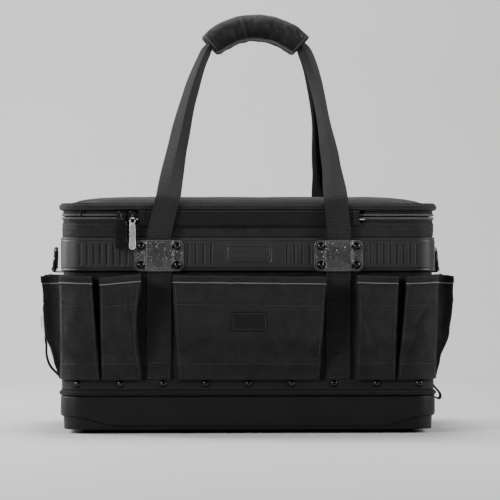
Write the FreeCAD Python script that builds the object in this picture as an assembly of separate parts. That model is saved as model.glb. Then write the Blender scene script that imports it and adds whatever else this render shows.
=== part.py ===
import FreeCAD, Part
import math
import os

from FreeCAD import Rotation, Vector

# Zip-lidded tool bag on a moulded base tub. Millimetres, +Z up, +X to the bag's right, +Y to its
# back, origin at the middle of the footprint on the ground.

# ---- overall sizes ---------------------------------------------------------------------------
body_length = 528.0          # fabric wall, outside, end to end
body_depth = 282.0           # fabric wall, outside, front to back
corner_radius = 26.0         # of the fabric wall in plan
handle_top = 609.0           # top of the leather grips

# ---- heights of the layers, from the ground up -----------------------------------------------
sole_height = 6.0
tub_height = 48.0
welt_height = 8.5
strip_height = 15.0
pocket_height = 147.5
band_gap = 6.0               # bare wall between pocket tops and the rubber band
band_height = 48.0
collar_height = 21.0
zip_height = 17.0            # both halves of the zip, tape to tape
border_height = 10.0         # stiff rim round the lid
lid_crown = 8.0              # rise of the padded lid above its rim

# ---- thicknesses -----------------------------------------------------------------------------
fabric = 1.6
stiffener = 2.2
lining = 1.2
tub_wall_outside = 4.0       # tub stands this far outside the fabric wall
tub_floor = 4.0
upstand = 2.5                # tub's inner flange that the walls are riveted to
upstand_height = 26.0
skirt_inset = 5.0
skirt_height = 6.8
skirt_end_rise = 12.8        # the step line sweeps up by this much at the ends
skirt_sweep = 75.0           # length of that sweep at each end
skirt_bend = 0.45            # share of the rise reached two thirds of the way along it
sole_inset = 28.0
board = 3.0                  # loose floor panel
board_gap = 1.0
welt = 6.0
strip = 2.4
band = 4.0
collar = 1.4
webbing = 2.4
leather = 2.7

# ---- straps, plates and rivets ---------------------------------------------------------------
strap_spacing = 255.0        # between the centre lines of a side's two straps
strap_width = 35.0
strap_play = 0.5             # on each side of a strap, under its plate and through a pocket's edge
plate_width = 69.5
plate_height = 44.0
plate_corner = 8.0
plate_rivet_dx = 51.2
plate_rivet_dz = 26.8
rivet_head_radius = 5.3
rivet_head_height = 3.0
rivet_shank_radius = 2.0
rivet_burr_radius = 3.6
rivet_burr_height = 1.0
rivet_burr_gap = 0.5         # a flat burr stands off where the wall is curved
rivet_clearance = 0.05
rivet_end_margin = 21.0      # from the wall's end to the last rivet of the strip
rivet_line = 0.57            # share of the strip's height at which its rivets sit
side_rivets = 4              # pitches from the middle rivet to the last one, front and back
end_rivet_pitch = 62.0

# ---- pockets ---------------------------------------------------------------------------------
pocket_fabric = 1.6
pocket_gap = 0.4             # loose fit of a pocket against the wall
pocket_bottom_depth = 7.0    # the pockets are flat at the bottom and open out upwards
pocket_low_depth = 15.0
pocket_mid_depth = 28.0
pocket_top_depth = 33.0
pocket_low_rise = 30.0
pocket_mid_rise = 62.0
corner_pocket_top = 46.0     # widths of the pockets at the corners, seen from the front
corner_pocket_bottom = 57.0
corner_pocket_return = 2.0   # distance that it passes the start of the corner's bend
narrow_gap_top = 11.0        # between a corner pocket and the narrow pocket beside it
narrow_gap_bottom = 2.5
narrow_strap_gap = 7.0
centre_pocket_gap_top = 1.0
centre_pocket_gap_bottom = 10.0
end_pocket_inner = 18.0      # the end pockets start this far from the middle plane
end_pocket_margin = 11.0     # between an end pocket and the corner pocket beside it
end_pocket_taper = 5.0
label_width = 50.0
label_height = 27.0
label_thickness = 1.2
label_rise = 69.0            # of its lower edge above the pocket's foot
inner_pocket_half = 150.0
inner_pocket_depth = 14.0
inner_pocket_height = 108.0
inner_pocket_rise = 2.0      # above the tub's inner flange

# ---- rubber band relief ----------------------------------------------------------------------
groove_width = 2.2
groove_depth = 1.6
groove_height = 31.0
outer_grooves = 8
outer_groove_pitch = 9.4
outer_groove_margin = 25.0
inner_grooves = 4
inner_groove_pitch = 11.0
inner_groove_margin = 6.0
border_groove = 1.4
border_groove_inset = 3.4
motif_length = 62.0
motif_height = 24.0

# ---- lid, hinge panel and zip ----------------------------------------------------------------
lid_overhang = 6.4           # of the lid's rim outside the fabric wall
rim_width = 4.4
lid_board = 2.4
lid_lining = 1.2
lid_layer_gap = 0.2
rim_play = 0.4               # between the rim and the layers inside it
crown_run_low = 36.0         # how far in from the rim the padded top has risen most of the way
crown_run_high = 106.0
crown_shoulder = 0.6
hinge_panel_margin = 13.0    # hinge panel passes the straps' outer edges by this much
hinge_panel_thickness = 1.2
zip_tape = 1.4
zip_coil = 2.4
zip_coil_height = 2.8
zip_gap = 0.6                # between the two rows of coil
parking_trim = 3.0           # cut off the top of the zip's fixed end
hinge_panel_trim = 0.5       # the panel stops this far short of the zip on each side
hinge_panel_back = 0.2       # from the hinge line in to the panel's outer face
lid_open_clearance = 0.1     # hinge line stands this far outside the lid's rim

# ---- zip sliders and their pulls -------------------------------------------------------------
slider_length = 12.0
slider_height = 13.6
slider_thickness = 5.2
slider_clearance = 0.4
slider_pitch = 16.0
slider_margin = 7.0
ear_thickness = 1.0
ear_wall = 0.6               # round the pin
pin_drop = 0.3               # share of the slider's height, below its middle
pull_pin_radius = 1.0
pull_bore_clearance = 0.2
pull_knuckle_wall = 1.1
knuckle_play = 0.5           # between the knuckle and each ear
neck_overlap = 2.0           # of the pull's neck with its blade
pull_thickness = 2.2
pull_clearance = 0.6         # between the pulls and the faces of the leather plates
steel_pull_width = 10.0
steel_pull_length = 43.0
tab_pull_width = 16.6
tab_pull_length = 43.0
pull_end_radius = 3.0

# ---- handles ---------------------------------------------------------------------------------
handle_webbing = 3.0
handle_clearance = 2.6       # between the lid's rim and the handle webbing
handle_hinge_gap = 1.5
handle_lean = 14.0           # the grips have settled this far to the right
handle_bend_rise = 6.0       # webbing turns inwards this far above the lid's rim
leg_shoulder_left = 115.0    # where each leg crosses the lid's rim, from the middle plane
leg_shoulder_right = 124.0
grip_radius = 98.0           # centre line of the grip's arch
grip_half_angle = 44.0
grip_height = 37.0
grip_depth = 26.0
grip_gap = 1.4               # between the front and the back grip
grip_skin = 2.0
grip_play = 0.1
core_width = 17.5
core_thickness = 7.0
leg_straight = 70.0          # how far the leg keeps its first direction
leg_bend = 34.0              # length of the bend into the grip
leg_sections = 4
leg_slope_share = 0.6        # how much of the straight line's lean the leg starts with
leg_hem = 1.0                # leg webbing is this much narrower than the fixed straps

# ---- D-rings ---------------------------------------------------------------------------------
ring_wire = 3.0
ring_half_width = 19.0
ring_leg = 11.0
ring_lean = 3.0              # degrees towards the bag
ring_offset = 14.0           # bar's centre outside the rubber band
ring_tab_width = 25.0
ring_tab_clearance = 0.3
ring_tab_wall = 2.0
ring_drop = 1.0              # the bar reaches this far below the rubber band

# ---- fittings on the ends --------------------------------------------------------------------
clip_thickness = 1.2
clip_width = 22.0
clip_height = 27.0
clip_hook = 4.5              # how far the hook stands off the plate
clip_hook_inset = 5.0        # hook is this much narrower than the plate on each side
clip_hook_below = 6.0        # its tip reaches this far below the plate's middle
clip_rise = 63.0             # above the pocket's foot
clip_position = 84.0         # from the middle plane, towards the front
loop_width = 25.0
loop_position = 40.0
loop_bulge = 27.5
loop_rise = 60.0
loop_seam = 4.0              # length of the loop's upper seam
loop_tuck = 9.0              # the loop's lower end is sewn this far down the rivet strip
tail_width = 25.0
tail_drop = 38.0
tail_reach = 20.0
tail_thickness = 3.0
tail_fold = 8.0              # height of the fold at the tail's lower end
tail_position = 40.0         # from the middle plane to the tail's front edge

# ---- places worked out from the sizes above --------------------------------------------------
half_length = body_length / 2
half_depth = body_depth / 2
tub_bottom = sole_height
tub_top = tub_bottom + tub_height
strip_bottom = tub_top + welt_height
strip_top = strip_bottom + strip_height
pocket_top = strip_top + pocket_height
band_bottom = pocket_top + band_gap
band_top = band_bottom + band_height
collar_top = band_top + collar_height
zip_middle = collar_top + zip_height / 2
rim_bottom = collar_top + zip_height
rim_top = rim_bottom + border_height
lid_top = rim_top + lid_crown
lining_inside = -(fabric + stiffener + lining)
tub_inside = lining_inside - upstand
wall_shoulder = half_length - corner_radius
strap_x = strap_spacing / 2
band_face = half_depth + band
plate_face = band_face + webbing + leather
plate_bottom = band_bottom
plate_top = plate_bottom + plate_height
panel_half = strap_x + strap_width / 2 + hinge_panel_margin
hinge_line_y = -(half_depth + lid_overhang + lid_open_clearance)
handle_y = half_depth + lid_overhang + handle_clearance + handle_webbing / 2
handle_hinge_z = plate_top + handle_hinge_gap
grip_middle_z = handle_top - grip_height / 2
grip_centre_z = grip_middle_z - grip_radius
grip_y = (grip_depth + grip_gap) / 2
bend_start = half_depth - corner_radius + corner_pocket_return
end_pocket_outer = bend_start - end_pocket_margin
ring_x = half_length + band + ring_offset
ring_z = band_bottom + ring_wire - ring_drop


# ---- building blocks -------------------------------------------------------------------------
def outline(offset, z):
    """The bag's plan outline at height z, moved outwards by offset."""
    x = half_length + offset
    y = half_depth + offset
    r = max(corner_radius + offset, 1.0)
    d = r * (1 - math.sqrt(0.5))
    corners = [(1, -1), (1, 1), (-1, 1), (-1, -1)]
    edges = []
    for i, (sx, sy) in enumerate(corners):
        nx, ny = corners[(i + 1) % 4]
        if sx == nx:
            start = Vector(sx * x, sy * (y - r), z)
            end = Vector(nx * x, ny * (y - r), z)
            last = Vector(nx * (x - r), ny * y, z)
        else:
            start = Vector(sx * (x - r), sy * y, z)
            end = Vector(nx * (x - r), ny * y, z)
            last = Vector(nx * x, ny * (y - r), z)
        middle = Vector(nx * (x - d), ny * (y - d), z)
        edges.append(Part.LineSegment(start, end).toShape())
        edges.append(Part.Arc(end, middle, last).toShape())
    return Part.Wire(edges)


def slab(offset, low, high):
    """A solid block with the bag's plan outline."""
    return Part.Face(outline(offset, low)).extrude(Vector(0, 0, high - low))


def ring(inner, outer, low, high):
    """A band of the wall between two offsets."""
    return slab(outer, low, high).cut(slab(inner, low - 1, high + 1))


def lofted(stations):
    """A solid through plan outlines, given as (offset, height)."""
    return Part.makeLoft([outline(o, z) for o, z in stations], True, True)


def block(x0, x1, y0, y1, z0, z1):
    return Part.makeBox(x1 - x0, y1 - y0, z1 - z0, Vector(x0, y0, z0))


def prism(points, direction):
    """Extrudes a closed polygon of vectors along direction."""
    return Part.Face(Part.makePolygon(points + points[:1])).extrude(direction)


def mirrored(shape, normal):
    return shape.mirror(Vector(0, 0, 0), normal)


def rounded_plate(width, height, thickness, radius):
    """A plate in the XZ plane, centred, growing towards -Y from y = 0."""
    plate = block(-width / 2, width / 2, -thickness, 0, -height / 2, height / 2)
    upright = [e for e in plate.Edges if abs(e.tangentAt(e.FirstParameter).y) > 0.9]
    return plate.makeFillet(radius, upright)


parts = {}


def add(name, shape):
    parts[name] = shape


# ---- rivets ----------------------------------------------------------------------------------
def rivet(grip_length):
    """A domed rivet along +Z: the head sits on z = 0 and the shank goes down through grip_length."""
    sphere_radius = (rivet_head_radius ** 2 + rivet_head_height ** 2) / (2 * rivet_head_height)
    centre = Vector(0, 0, rivet_head_height - sphere_radius)
    dome = Part.makeSphere(sphere_radius, centre)
    reach = 2 * sphere_radius
    head = dome.common(block(-reach, reach, -reach, reach, 0, reach))
    shank = Part.makeCylinder(rivet_shank_radius, grip_length, Vector(0, 0, -grip_length))
    burr_base = Vector(0, 0, -grip_length - rivet_burr_height)
    burr = Part.makeCylinder(rivet_burr_radius, rivet_burr_height, burr_base)
    return head.fuse([shank, burr]).removeSplitter()


def drill(grip_length):
    """The hole for such a rivet, a little longer than its shank."""
    radius = rivet_shank_radius + rivet_clearance
    return Part.makeCylinder(radius, grip_length + 2, Vector(0, 0, -grip_length - 1))


def aimed(shape, place, direction):
    """Turns a shape that points along +Z towards direction and moves it to place."""
    turned = shape.copy()
    turned.Placement = FreeCAD.Placement(place, Rotation(Vector(0, 0, 1), direction))
    return turned


def wall_spot(x, side, offset, z):
    """Where a line across the bag at x meets its front (-1) or back (1) face, and that face's normal."""
    past = abs(x) - (half_length - corner_radius)
    if past <= 0:
        return Vector(x, side * (half_depth + offset), z), Vector(0, side, 0)
    lean = math.asin(past / corner_radius)
    normal = Vector(math.copysign(math.sin(lean), x), side * math.cos(lean), 0)
    middle_x = math.copysign(half_length - corner_radius, x)
    centre = Vector(middle_x, side * (half_depth - corner_radius), z)
    return centre + normal * (corner_radius + offset), normal


strip_grip = strip - lining_inside + upstand + rivet_burr_gap
strip_rivet_z = strip_bottom + strip_height * rivet_line
strip_places = []
for side in (-1, 1):
    pitch = (half_length - rivet_end_margin) / side_rivets
    for i in range(-side_rivets, side_rivets + 1):
        strip_places.append(wall_spot(i * pitch, side, strip, strip_rivet_z))
    face = side * (half_length + strip)
    for i in (-1, 0, 1):
        place = Vector(face, i * end_rivet_pitch, strip_rivet_z)
        strip_places.append((place, Vector(side, 0, 0)))
strip_rivet_solids = [aimed(rivet(strip_grip), p, d) for p, d in strip_places]
strip_drills = [aimed(drill(strip_grip), p, d) for p, d in strip_places]

plate_grip = plate_face - half_depth - lining_inside
plate_places = []
for side in (-1, 1):
    for strap_side in (-1, 1):
        for dx in (-plate_rivet_dx / 2, plate_rivet_dx / 2):
            for dz in (-plate_rivet_dz / 2, plate_rivet_dz / 2):
                z = (plate_bottom + plate_top) / 2 + dz
                place = Vector(strap_side * strap_x + dx, side * plate_face, z)
                plate_places.append((place, Vector(0, side, 0)))
plate_rivet_solids = [aimed(rivet(plate_grip), p, d) for p, d in plate_places]
plate_drills = [aimed(drill(plate_grip), p, d) for p, d in plate_places]

add("strip_rivets", Part.makeCompound(strip_rivet_solids))
add("plate_rivets", Part.makeCompound(plate_rivet_solids))


# ---- base: sole, moulded tub, floor panel ----------------------------------------------------
def base_tub():
    step = tub_bottom + skirt_height
    shell = slab(tub_wall_outside, step, tub_top)
    reach = half_length + tub_wall_outside + 1
    deep = half_depth + tub_wall_outside + 1
    for side in (-1, 1):
        foot = Vector(side * (reach - skirt_sweep), -deep, step)
        bend = Vector(side * (reach - skirt_sweep / 3), -deep, step + skirt_end_rise * skirt_bend)
        tip = Vector(side * reach, -deep, step + skirt_end_rise)
        toe = Vector(side * reach, -deep, step - 1)
        heel = Vector(side * (reach - skirt_sweep), -deep, step - 1)
        shell = shell.cut(prism([foot, bend, tip, toe, heel], Vector(0, 2 * deep, 0)))
    skirt = slab(tub_wall_outside - skirt_inset, tub_bottom, tub_top - 2)
    flange = slab(lining_inside, tub_top - 4, tub_top + upstand_height)
    tub = shell.fuse([skirt, flange])
    hollow = slab(tub_inside, tub_bottom + tub_floor, tub_top + upstand_height + 1)
    return tub.cut(hollow).cut(strip_drills).removeSplitter()


add("base_sole", slab(-sole_inset, 0, sole_height))
add("base_tub", base_tub())
board_low = tub_bottom + tub_floor
add("base_board", slab(tub_inside - board_gap, board_low, board_low + board))

# ---- walls: fabric, stiffener, lining and what is sewn round them ----------------------------
all_drills = strip_drills + plate_drills
add("body_wall", ring(-fabric, 0, tub_top, collar_top).cut(all_drills))
add("wall_stiffener", ring(-fabric - stiffener, -fabric, tub_top, collar_top).cut(all_drills))
add("inner_lining", ring(lining_inside, -fabric - stiffener, tub_top, collar_top).cut(all_drills))
add("base_welt", ring(0, welt, tub_top, strip_bottom))
add("rivet_strip", ring(0, strip, strip_bottom, strip_top).cut(strip_drills))
add("collar", ring(0, collar, band_top, collar_top))


def groove(x, z0, z1):
    return block(x - groove_width / 2, x + groove_width / 2,
                 -band_face - 1, -band_face + groove_depth, z0, z1)


def impact_band():
    """Moulded rubber band with upright grooves front and back and a fine line along each edge."""
    body = ring(0, band, band_bottom, band_top).cut(plate_drills)
    middle = (band_bottom + band_top) / 2
    low = middle - groove_height / 2
    high = middle + groove_height / 2
    cuts = []
    for side in (-1, 1):
        outer = half_length - outer_groove_margin
        inner = strap_x - plate_width / 2 - inner_groove_margin
        for i in range(outer_grooves):
            cuts.append(groove(side * (outer - i * outer_groove_pitch), low, high))
        for i in range(inner_grooves):
            cuts.append(groove(side * (inner - i * inner_groove_pitch), low, high))
    face = -band_face + groove_depth
    frame = block(-motif_length / 2, motif_length / 2, -band_face - 1, face,
                  middle - motif_height / 2, middle + motif_height / 2)
    inset = groove_width
    heart = block(-motif_length / 2 + inset, motif_length / 2 - inset, -band_face - 2, face + 1,
                  middle - motif_height / 2 + inset, middle + motif_height / 2 - inset)
    cuts.append(frame.cut(heart))
    cuts += [mirrored(c, Vector(0, 1, 0)) for c in cuts]
    fine = border_groove / 2
    for z in (band_bottom + border_groove_inset, band_top - border_groove_inset):
        cuts.append(ring(band - fine, band + 1, z - fine, z + fine))
    return body.cut(cuts)


add("impact_band", impact_band())


# ---- straps and leather plates ---------------------------------------------------------------
def fixed_strap(x):
    """Front strap, sewn up the wall and stepping out over the band to the top of its plate."""
    wall = -half_depth
    face = -band_face
    step_low = band_bottom - band - 1
    profile = [(wall, strip_top), (wall, band_bottom - 0.5), (face, band_bottom - 0.5),
               (face, plate_top), (face - webbing, plate_top), (face - webbing, step_low),
               (wall - webbing, step_low - band), (wall - webbing, strip_top)]
    points = [Vector(x - strap_width / 2, y, z) for y, z in profile]
    return prism(points, Vector(strap_width, 0, 0))


def strap_plate(x):
    """Leather plate that folds over the strap, riveted to the band on both sides of it."""
    thickness = webbing + leather
    plate = rounded_plate(plate_width, plate_height, thickness, plate_corner)
    plate.translate(Vector(x, -band_face, (plate_bottom + plate_top) / 2))
    half = strap_width / 2 + strap_play
    channel = block(x - half, x + half, -band_face - webbing, -band_face + 1,
                    plate_bottom - 1, plate_top + 1)
    return plate.cut(channel).cut(plate_drills)


for name, x in (("left", -strap_x), ("right", strap_x)):
    add("front_" + name + "_strap", fixed_strap(x))
    add("back_" + name + "_strap", mirrored(fixed_strap(x), Vector(0, 1, 0)))
    add("front_" + name + "_plate", strap_plate(x))
    add("back_" + name + "_plate", mirrored(strap_plate(x), Vector(0, 1, 0)))


# ---- pockets ---------------------------------------------------------------------------------
pocket_stations = [
    (pocket_bottom_depth, strip_top),
    (pocket_low_depth, strip_top + pocket_low_rise),
    (pocket_mid_depth, strip_top + pocket_mid_rise),
    (pocket_top_depth, pocket_top),
]
pocket_envelope = lofted(pocket_stations)
pocket_hollow = lofted([(o - pocket_fabric, z) for o, z in pocket_stations])
pocket_mouth = slab(pocket_top_depth - pocket_fabric, pocket_top - 0.01, pocket_top + 1)
pocket_floor = slab(pocket_top_depth + 1, strip_top - 1, strip_top + pocket_fabric)
pocket_hollow = pocket_hollow.fuse(pocket_mouth).cut(pocket_floor)
wall_core = slab(pocket_gap, strip_top - 1, pocket_top + 2)
strap_room = strap_width / 2 + strap_play
strap_reach = half_depth + webbing + pocket_gap
strap_core = []
for x in (-strap_x, strap_x):
    strap_core.append(block(x - strap_room, x + strap_room, -strap_reach, strap_reach,
                            strip_top - 1, pocket_top + 2))


def tapered(low_foot, high_foot, low_top, high_top, depth_from, depth_to, inset, along_x):
    """Region of one pocket: edges at its foot and at its top, between two depths."""
    a, b, c, d = low_foot + inset, high_foot - inset, high_top - inset, low_top + inset
    z0 = strip_top - inset
    z1 = pocket_top + 2 * inset
    corners = [(a, z0), (b, z0), (c, z1), (d, z1)]
    if along_x:
        points = [Vector(u, depth_from, z) for u, z in corners]
        return prism(points, Vector(0, depth_to - depth_from, 0))
    points = [Vector(depth_from, u, z) for u, z in corners]
    return prism(points, Vector(depth_to - depth_from, 0, 0))


def pocket(edges, depth_from, depth_to, along_x):
    """An open-topped pocket with gusseted sides: its back is the bag's wall."""
    region = tapered(*edges, depth_from, depth_to, 0, along_x)
    inside = tapered(*edges, depth_from - 1, depth_to - pocket_fabric, pocket_fabric, along_x)
    shape = pocket_envelope.common(region).cut(pocket_hollow.common(inside))
    return shape.cut([wall_core] + strap_core)


far = half_depth + 2 * pocket_top_depth
corner_out = half_length + tub_wall_outside
corner_top = corner_out - corner_pocket_top
corner_foot = corner_out - corner_pocket_bottom
strap_edge = strap_x + strap_width / 2
narrow_in = strap_edge + narrow_strap_gap
narrow_top = corner_top - narrow_gap_top
narrow_foot = corner_foot - narrow_gap_bottom
centre_top = strap_x - strap_width / 2 - centre_pocket_gap_top
centre_foot = strap_x - strap_width / 2 - centre_pocket_gap_bottom

front_pockets = {
    "corner_pocket_left": ((-corner_out, -corner_foot, -corner_out, -corner_top), -bend_start),
    "corner_pocket_right": ((corner_foot, corner_out, corner_top, corner_out), -bend_start),
    "narrow_pocket_left": ((-narrow_foot, -narrow_in, -narrow_top, -narrow_in), 0),
    "narrow_pocket_right": ((narrow_in, narrow_foot, narrow_in, narrow_top), 0),
    "centre_pocket": ((-centre_foot, centre_foot, -centre_top, centre_top), 0),
}
for name, (edges, back) in front_pockets.items():
    shape = pocket(edges, -far, back, True)
    add("front_" + name, shape)
    add("back_" + name, mirrored(shape, Vector(0, 1, 0)))

end_far = half_length + 2 * pocket_top_depth
end_edges = (end_pocket_inner + end_pocket_taper, end_pocket_outer - end_pocket_taper,
             end_pocket_inner, end_pocket_outer)
inside = tapered(*end_edges, 0, end_far, pocket_fabric, False)
end_region = tapered(*end_edges, 0, end_far, 0, False)
end_shape = pocket_envelope.common(end_region).cut(pocket_hollow.common(inside)).cut(wall_core)
end_pair = Part.makeCompound([end_shape, mirrored(end_shape, Vector(0, 1, 0))])
add("right_end_pockets", end_pair)
add("left_end_pockets", mirrored(end_pair, Vector(1, 0, 0)))


def pocket_depth_at(rise):
    """How far the pockets' outer face stands off the wall at this rise above their foot."""
    for (o0, z0), (o1, z1) in zip(pocket_stations, pocket_stations[1:]):
        if rise + strip_top <= z1:
            return o0 + (o1 - o0) * (rise + strip_top - z0) / (z1 - z0)
    return pocket_top_depth


def label_patch():
    """Woven label sewn flat on the sloping face of the centre pocket."""
    low = pocket_depth_at(label_rise)
    high = pocket_depth_at(label_rise + label_height)
    z0 = strip_top + label_rise
    z1 = z0 + label_height
    points = [Vector(-label_width / 2, -half_depth - low, z0),
              Vector(-label_width / 2, -half_depth - high, z1),
              Vector(-label_width / 2, -half_depth - high - label_thickness, z1),
              Vector(-label_width / 2, -half_depth - low - label_thickness, z0)]
    return prism(points, Vector(label_width, 0, 0))


add("label_patch", label_patch())


def inner_pocket():
    """Slip pocket sewn to the lining inside the front wall."""
    back = -half_depth - lining_inside
    z0 = tub_top + upstand_height + inner_pocket_rise
    z1 = z0 + inner_pocket_height
    half = inner_pocket_half
    deep = inner_pocket_depth
    outer = block(-half, half, back, back + deep, z0, z1)
    hollow = block(-half + lining, half - lining, back - 1, back + deep - lining,
                   z0 + lining, z1 + 1)
    return outer.cut(hollow)


add("inner_pockets", Part.makeCompound([inner_pocket(), mirrored(inner_pocket(), Vector(0, 1, 0))]))


# ---- zip and lid -----------------------------------------------------------------------------
front_reach = -half_depth + corner_radius
hinge_opening = block(-panel_half, panel_half, -far, front_reach, collar_top - 1, rim_top)
parked_zone = block(-wall_shoulder, -panel_half, -far, front_reach, collar_top - 1, rim_top)
zip_low_top = zip_middle - zip_gap / 2
zip_high_bottom = zip_middle + zip_gap / 2


def zip_half(low, high, coil_low):
    tape = ring(-zip_tape, 0, low, high)
    coil = ring(-0.2, zip_coil, coil_low, coil_low + zip_coil_height)
    return tape.fuse(coil).cut(hinge_opening)


zip_low = zip_half(collar_top, zip_low_top, zip_low_top - zip_coil_height)
zip_high = zip_half(zip_high_bottom, rim_bottom, zip_high_bottom)
add("zip_lower", zip_low)
add("zip_upper", zip_high.cut(parked_zone))
parked = zip_high.common(parked_zone)
parked_clear = block(-wall_shoulder - 1, -panel_half + 1, -far, front_reach,
                     rim_bottom - parking_trim, rim_top)
trim_clear = block(-wall_shoulder - 1, -wall_shoulder + 0.5, -far, front_reach, collar_top, rim_top)
add("zip_parking_end", parked.cut([parked_clear, trim_clear]))

panel_out = -hinge_line_y - hinge_panel_back
panel_in = panel_out - hinge_panel_thickness
panel_reach = panel_half - hinge_panel_trim


def hinge_panel(low, high):
    return block(-panel_reach, panel_reach, -panel_out, -panel_in, low, high)


add("hinge_panel_lower", hinge_panel(band_top + collar_height / 2, zip_low_top))
add("hinge_panel_upper", hinge_panel(zip_high_bottom, rim_bottom - lid_layer_gap))

add("lid_border", ring(lid_overhang - rim_width, lid_overhang, rim_bottom, rim_top))
inside_rim = lid_overhang - rim_width - rim_play
board_bottom = rim_bottom + lid_lining + lid_layer_gap
board_top = board_bottom + lid_board
add("lid_lining", slab(inside_rim, rim_bottom, rim_bottom + lid_lining))
add("lid_board", slab(inside_rim, board_bottom, board_top))
pad_stations = [
    (inside_rim, board_top + lid_layer_gap),
    (inside_rim, rim_top),
    (inside_rim - crown_run_low, rim_top + lid_crown * crown_shoulder),
    (inside_rim - crown_run_high, lid_top),
]
add("lid_top", lofted(pad_stations))


# ---- sliders and pulls -----------------------------------------------------------------------
slider_front = -half_depth - zip_coil - slider_clearance - slider_thickness
pin_y = -plate_face - pull_clearance - pull_thickness / 2
ear_half = pull_pin_radius + ear_wall
pin_z = zip_middle - slider_height * pin_drop


def slider(x):
    """Slider body in front of the coils, with two ears and the pin that its pull swings on."""
    low = zip_middle - slider_height / 2
    back = -half_depth - zip_coil - slider_clearance
    body = block(x - slider_length / 2, x + slider_length / 2, slider_front, back,
                 low, low + slider_height)
    upright = [e for e in body.Edges if abs(e.tangentAt(e.FirstParameter).y) > 0.9]
    body = body.makeFillet(slider_length / 6, upright)
    pieces = []
    for side in (-1, 1):
        edge = x + side * (slider_length / 2 - ear_thickness)
        x0, x1 = sorted((edge, edge - side * ear_thickness))
        pieces.append(block(x0, x1, pin_y - ear_half, slider_front + 0.5,
                            pin_z - ear_half, pin_z + ear_half))
    start = Vector(x - slider_length / 2 + ear_thickness * 1.5, pin_y, pin_z)
    pin_length = slider_length - ear_thickness * 3
    pieces.append(Part.makeCylinder(pull_pin_radius, pin_length, start, Vector(1, 0, 0)))
    return body.fuse(pieces)


def pull(x, width, length, radius):
    """Pull that hangs from the slider's pin on a bored knuckle."""
    knuckle_half = slider_length / 2 - 2 * ear_thickness - knuckle_play
    bore = pull_pin_radius + pull_bore_clearance
    outside = bore + pull_knuckle_wall
    start = Vector(x - knuckle_half, pin_y, pin_z)
    knuckle = Part.makeCylinder(outside, 2 * knuckle_half, start, Vector(1, 0, 0))
    neck_top = slider_height / 2
    back = pin_y + pull_thickness / 2
    neck = block(x - knuckle_half, x + knuckle_half, back - pull_thickness, back,
                 pin_z - neck_top, pin_z)
    blade_top = pin_z - neck_top + neck_overlap
    blade_length = length - neck_top + neck_overlap
    blade = rounded_plate(width, blade_length, pull_thickness, radius)
    blade.translate(Vector(x, back, blade_top - blade_length / 2))
    hole_start = start - Vector(1, 0, 0)
    hole = Part.makeCylinder(bore, 2 * knuckle_half + 2, hole_start, Vector(1, 0, 0))
    return knuckle.fuse([neck, blade]).cut(hole)


steel_x = -(panel_half + slider_margin)
tab_x = steel_x - slider_pitch
add("slider_steel", slider(steel_x))
add("slider_black", slider(tab_x))
add("pull_steel", pull(steel_x, steel_pull_width, steel_pull_length, pull_end_radius))
add("pull_tab", pull(tab_x, tab_pull_width, tab_pull_length, pull_end_radius))


# ---- handles ---------------------------------------------------------------------------------
def bezier(p, t):
    s = 1 - t
    return p[0] * s ** 3 + p[1] * (3 * s * s * t) + p[2] * (3 * s * t * t) + p[3] * t ** 3


def bezier_direction(p, t):
    s = 1 - t
    d = (p[1] - p[0]) * (s * s) + (p[2] - p[1]) * (2 * s * t) + (p[3] - p[2]) * (t * t)
    return d.normalize()


def section(centre, tangent, width, thickness, twist):
    """Rectangle across a leg: its width turns from along X to along Y as twist goes to 90 degrees."""
    across = Vector(1, 0, 0) - tangent * tangent.x
    across.normalize()
    other = tangent.cross(across)
    wide = across * math.cos(twist) + other * math.sin(twist)
    thin = tangent.cross(wide)
    points = []
    for a, b in ((-1, -1), (1, -1), (1, 1), (-1, 1)):
        points.append(centre + wide * (a * width / 2) + thin * (b * thickness / 2))
    return Part.makePolygon(points + points[:1])


def arch(shape_in_section):
    """Revolves a section, drawn at the top of the grip, over the whole arch."""
    centre = Vector(handle_lean, -grip_y, grip_centre_z)
    start = shape_in_section.copy()
    start.rotate(centre, Vector(0, 1, 0), -grip_half_angle)
    return start.revolve(centre, Vector(0, 1, 0), 2 * grip_half_angle)


def ellipse_section(height, depth):
    middle = Vector(handle_lean, -grip_y, grip_middle_z)
    top = middle + Vector(0, 0, height / 2)
    curve = Part.Ellipse(top, middle + Vector(0, depth / 2, 0), middle)
    return Part.Face(Part.Wire([curve.toShape()]))


def rectangle_section(height, depth):
    y0, y1 = -grip_y - depth / 2, -grip_y + depth / 2
    z0, z1 = grip_middle_z - height / 2, grip_middle_z + height / 2
    points = [Vector(handle_lean, y, z) for y, z in ((y0, z0), (y1, z0), (y1, z1), (y0, z1))]
    return Part.Face(Part.makePolygon(points + points[:1]))


def handle_leg(side, shoulder):
    """Webbing from the plate up past the lid's rim, then in to the grip, folding as it goes."""
    up = Vector(0, 0, 1)
    foot = Vector(side * strap_x, -handle_y, handle_hinge_z + handle_hinge_gap)
    bend = Vector(side * shoulder, -handle_y, rim_top + handle_bend_rise)
    angle = math.radians(grip_half_angle)
    end = Vector(handle_lean + side * grip_radius * math.sin(angle), -grip_y,
                 grip_centre_z + grip_radius * math.cos(angle))
    arriving = Vector(-side * math.cos(angle), 0, math.sin(angle))
    slope = end - bend
    slope.x *= leg_slope_share
    slope.normalize()
    path = [bend, bend + slope * leg_straight, end - arriving * leg_bend, end]
    leg_width = strap_width - leg_hem
    wires = [section(foot, up, leg_width, handle_webbing, 0)]
    wires.append(section(bend, up, leg_width, handle_webbing, 0))
    for i in range(1, leg_sections + 1):
        t = i / leg_sections
        width = leg_width * (1 - t) + core_width * t
        thick = handle_webbing * (1 - t) + core_thickness * t
        twist = math.radians(90) * t * side
        wires.append(section(bezier(path, t), bezier_direction(path, t), width, thick, twist))
    solids = []
    for low, high in zip(wires, wires[1:]):
        solids.append(Part.makeLoft([low, high], True, True))
    return solids


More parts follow.
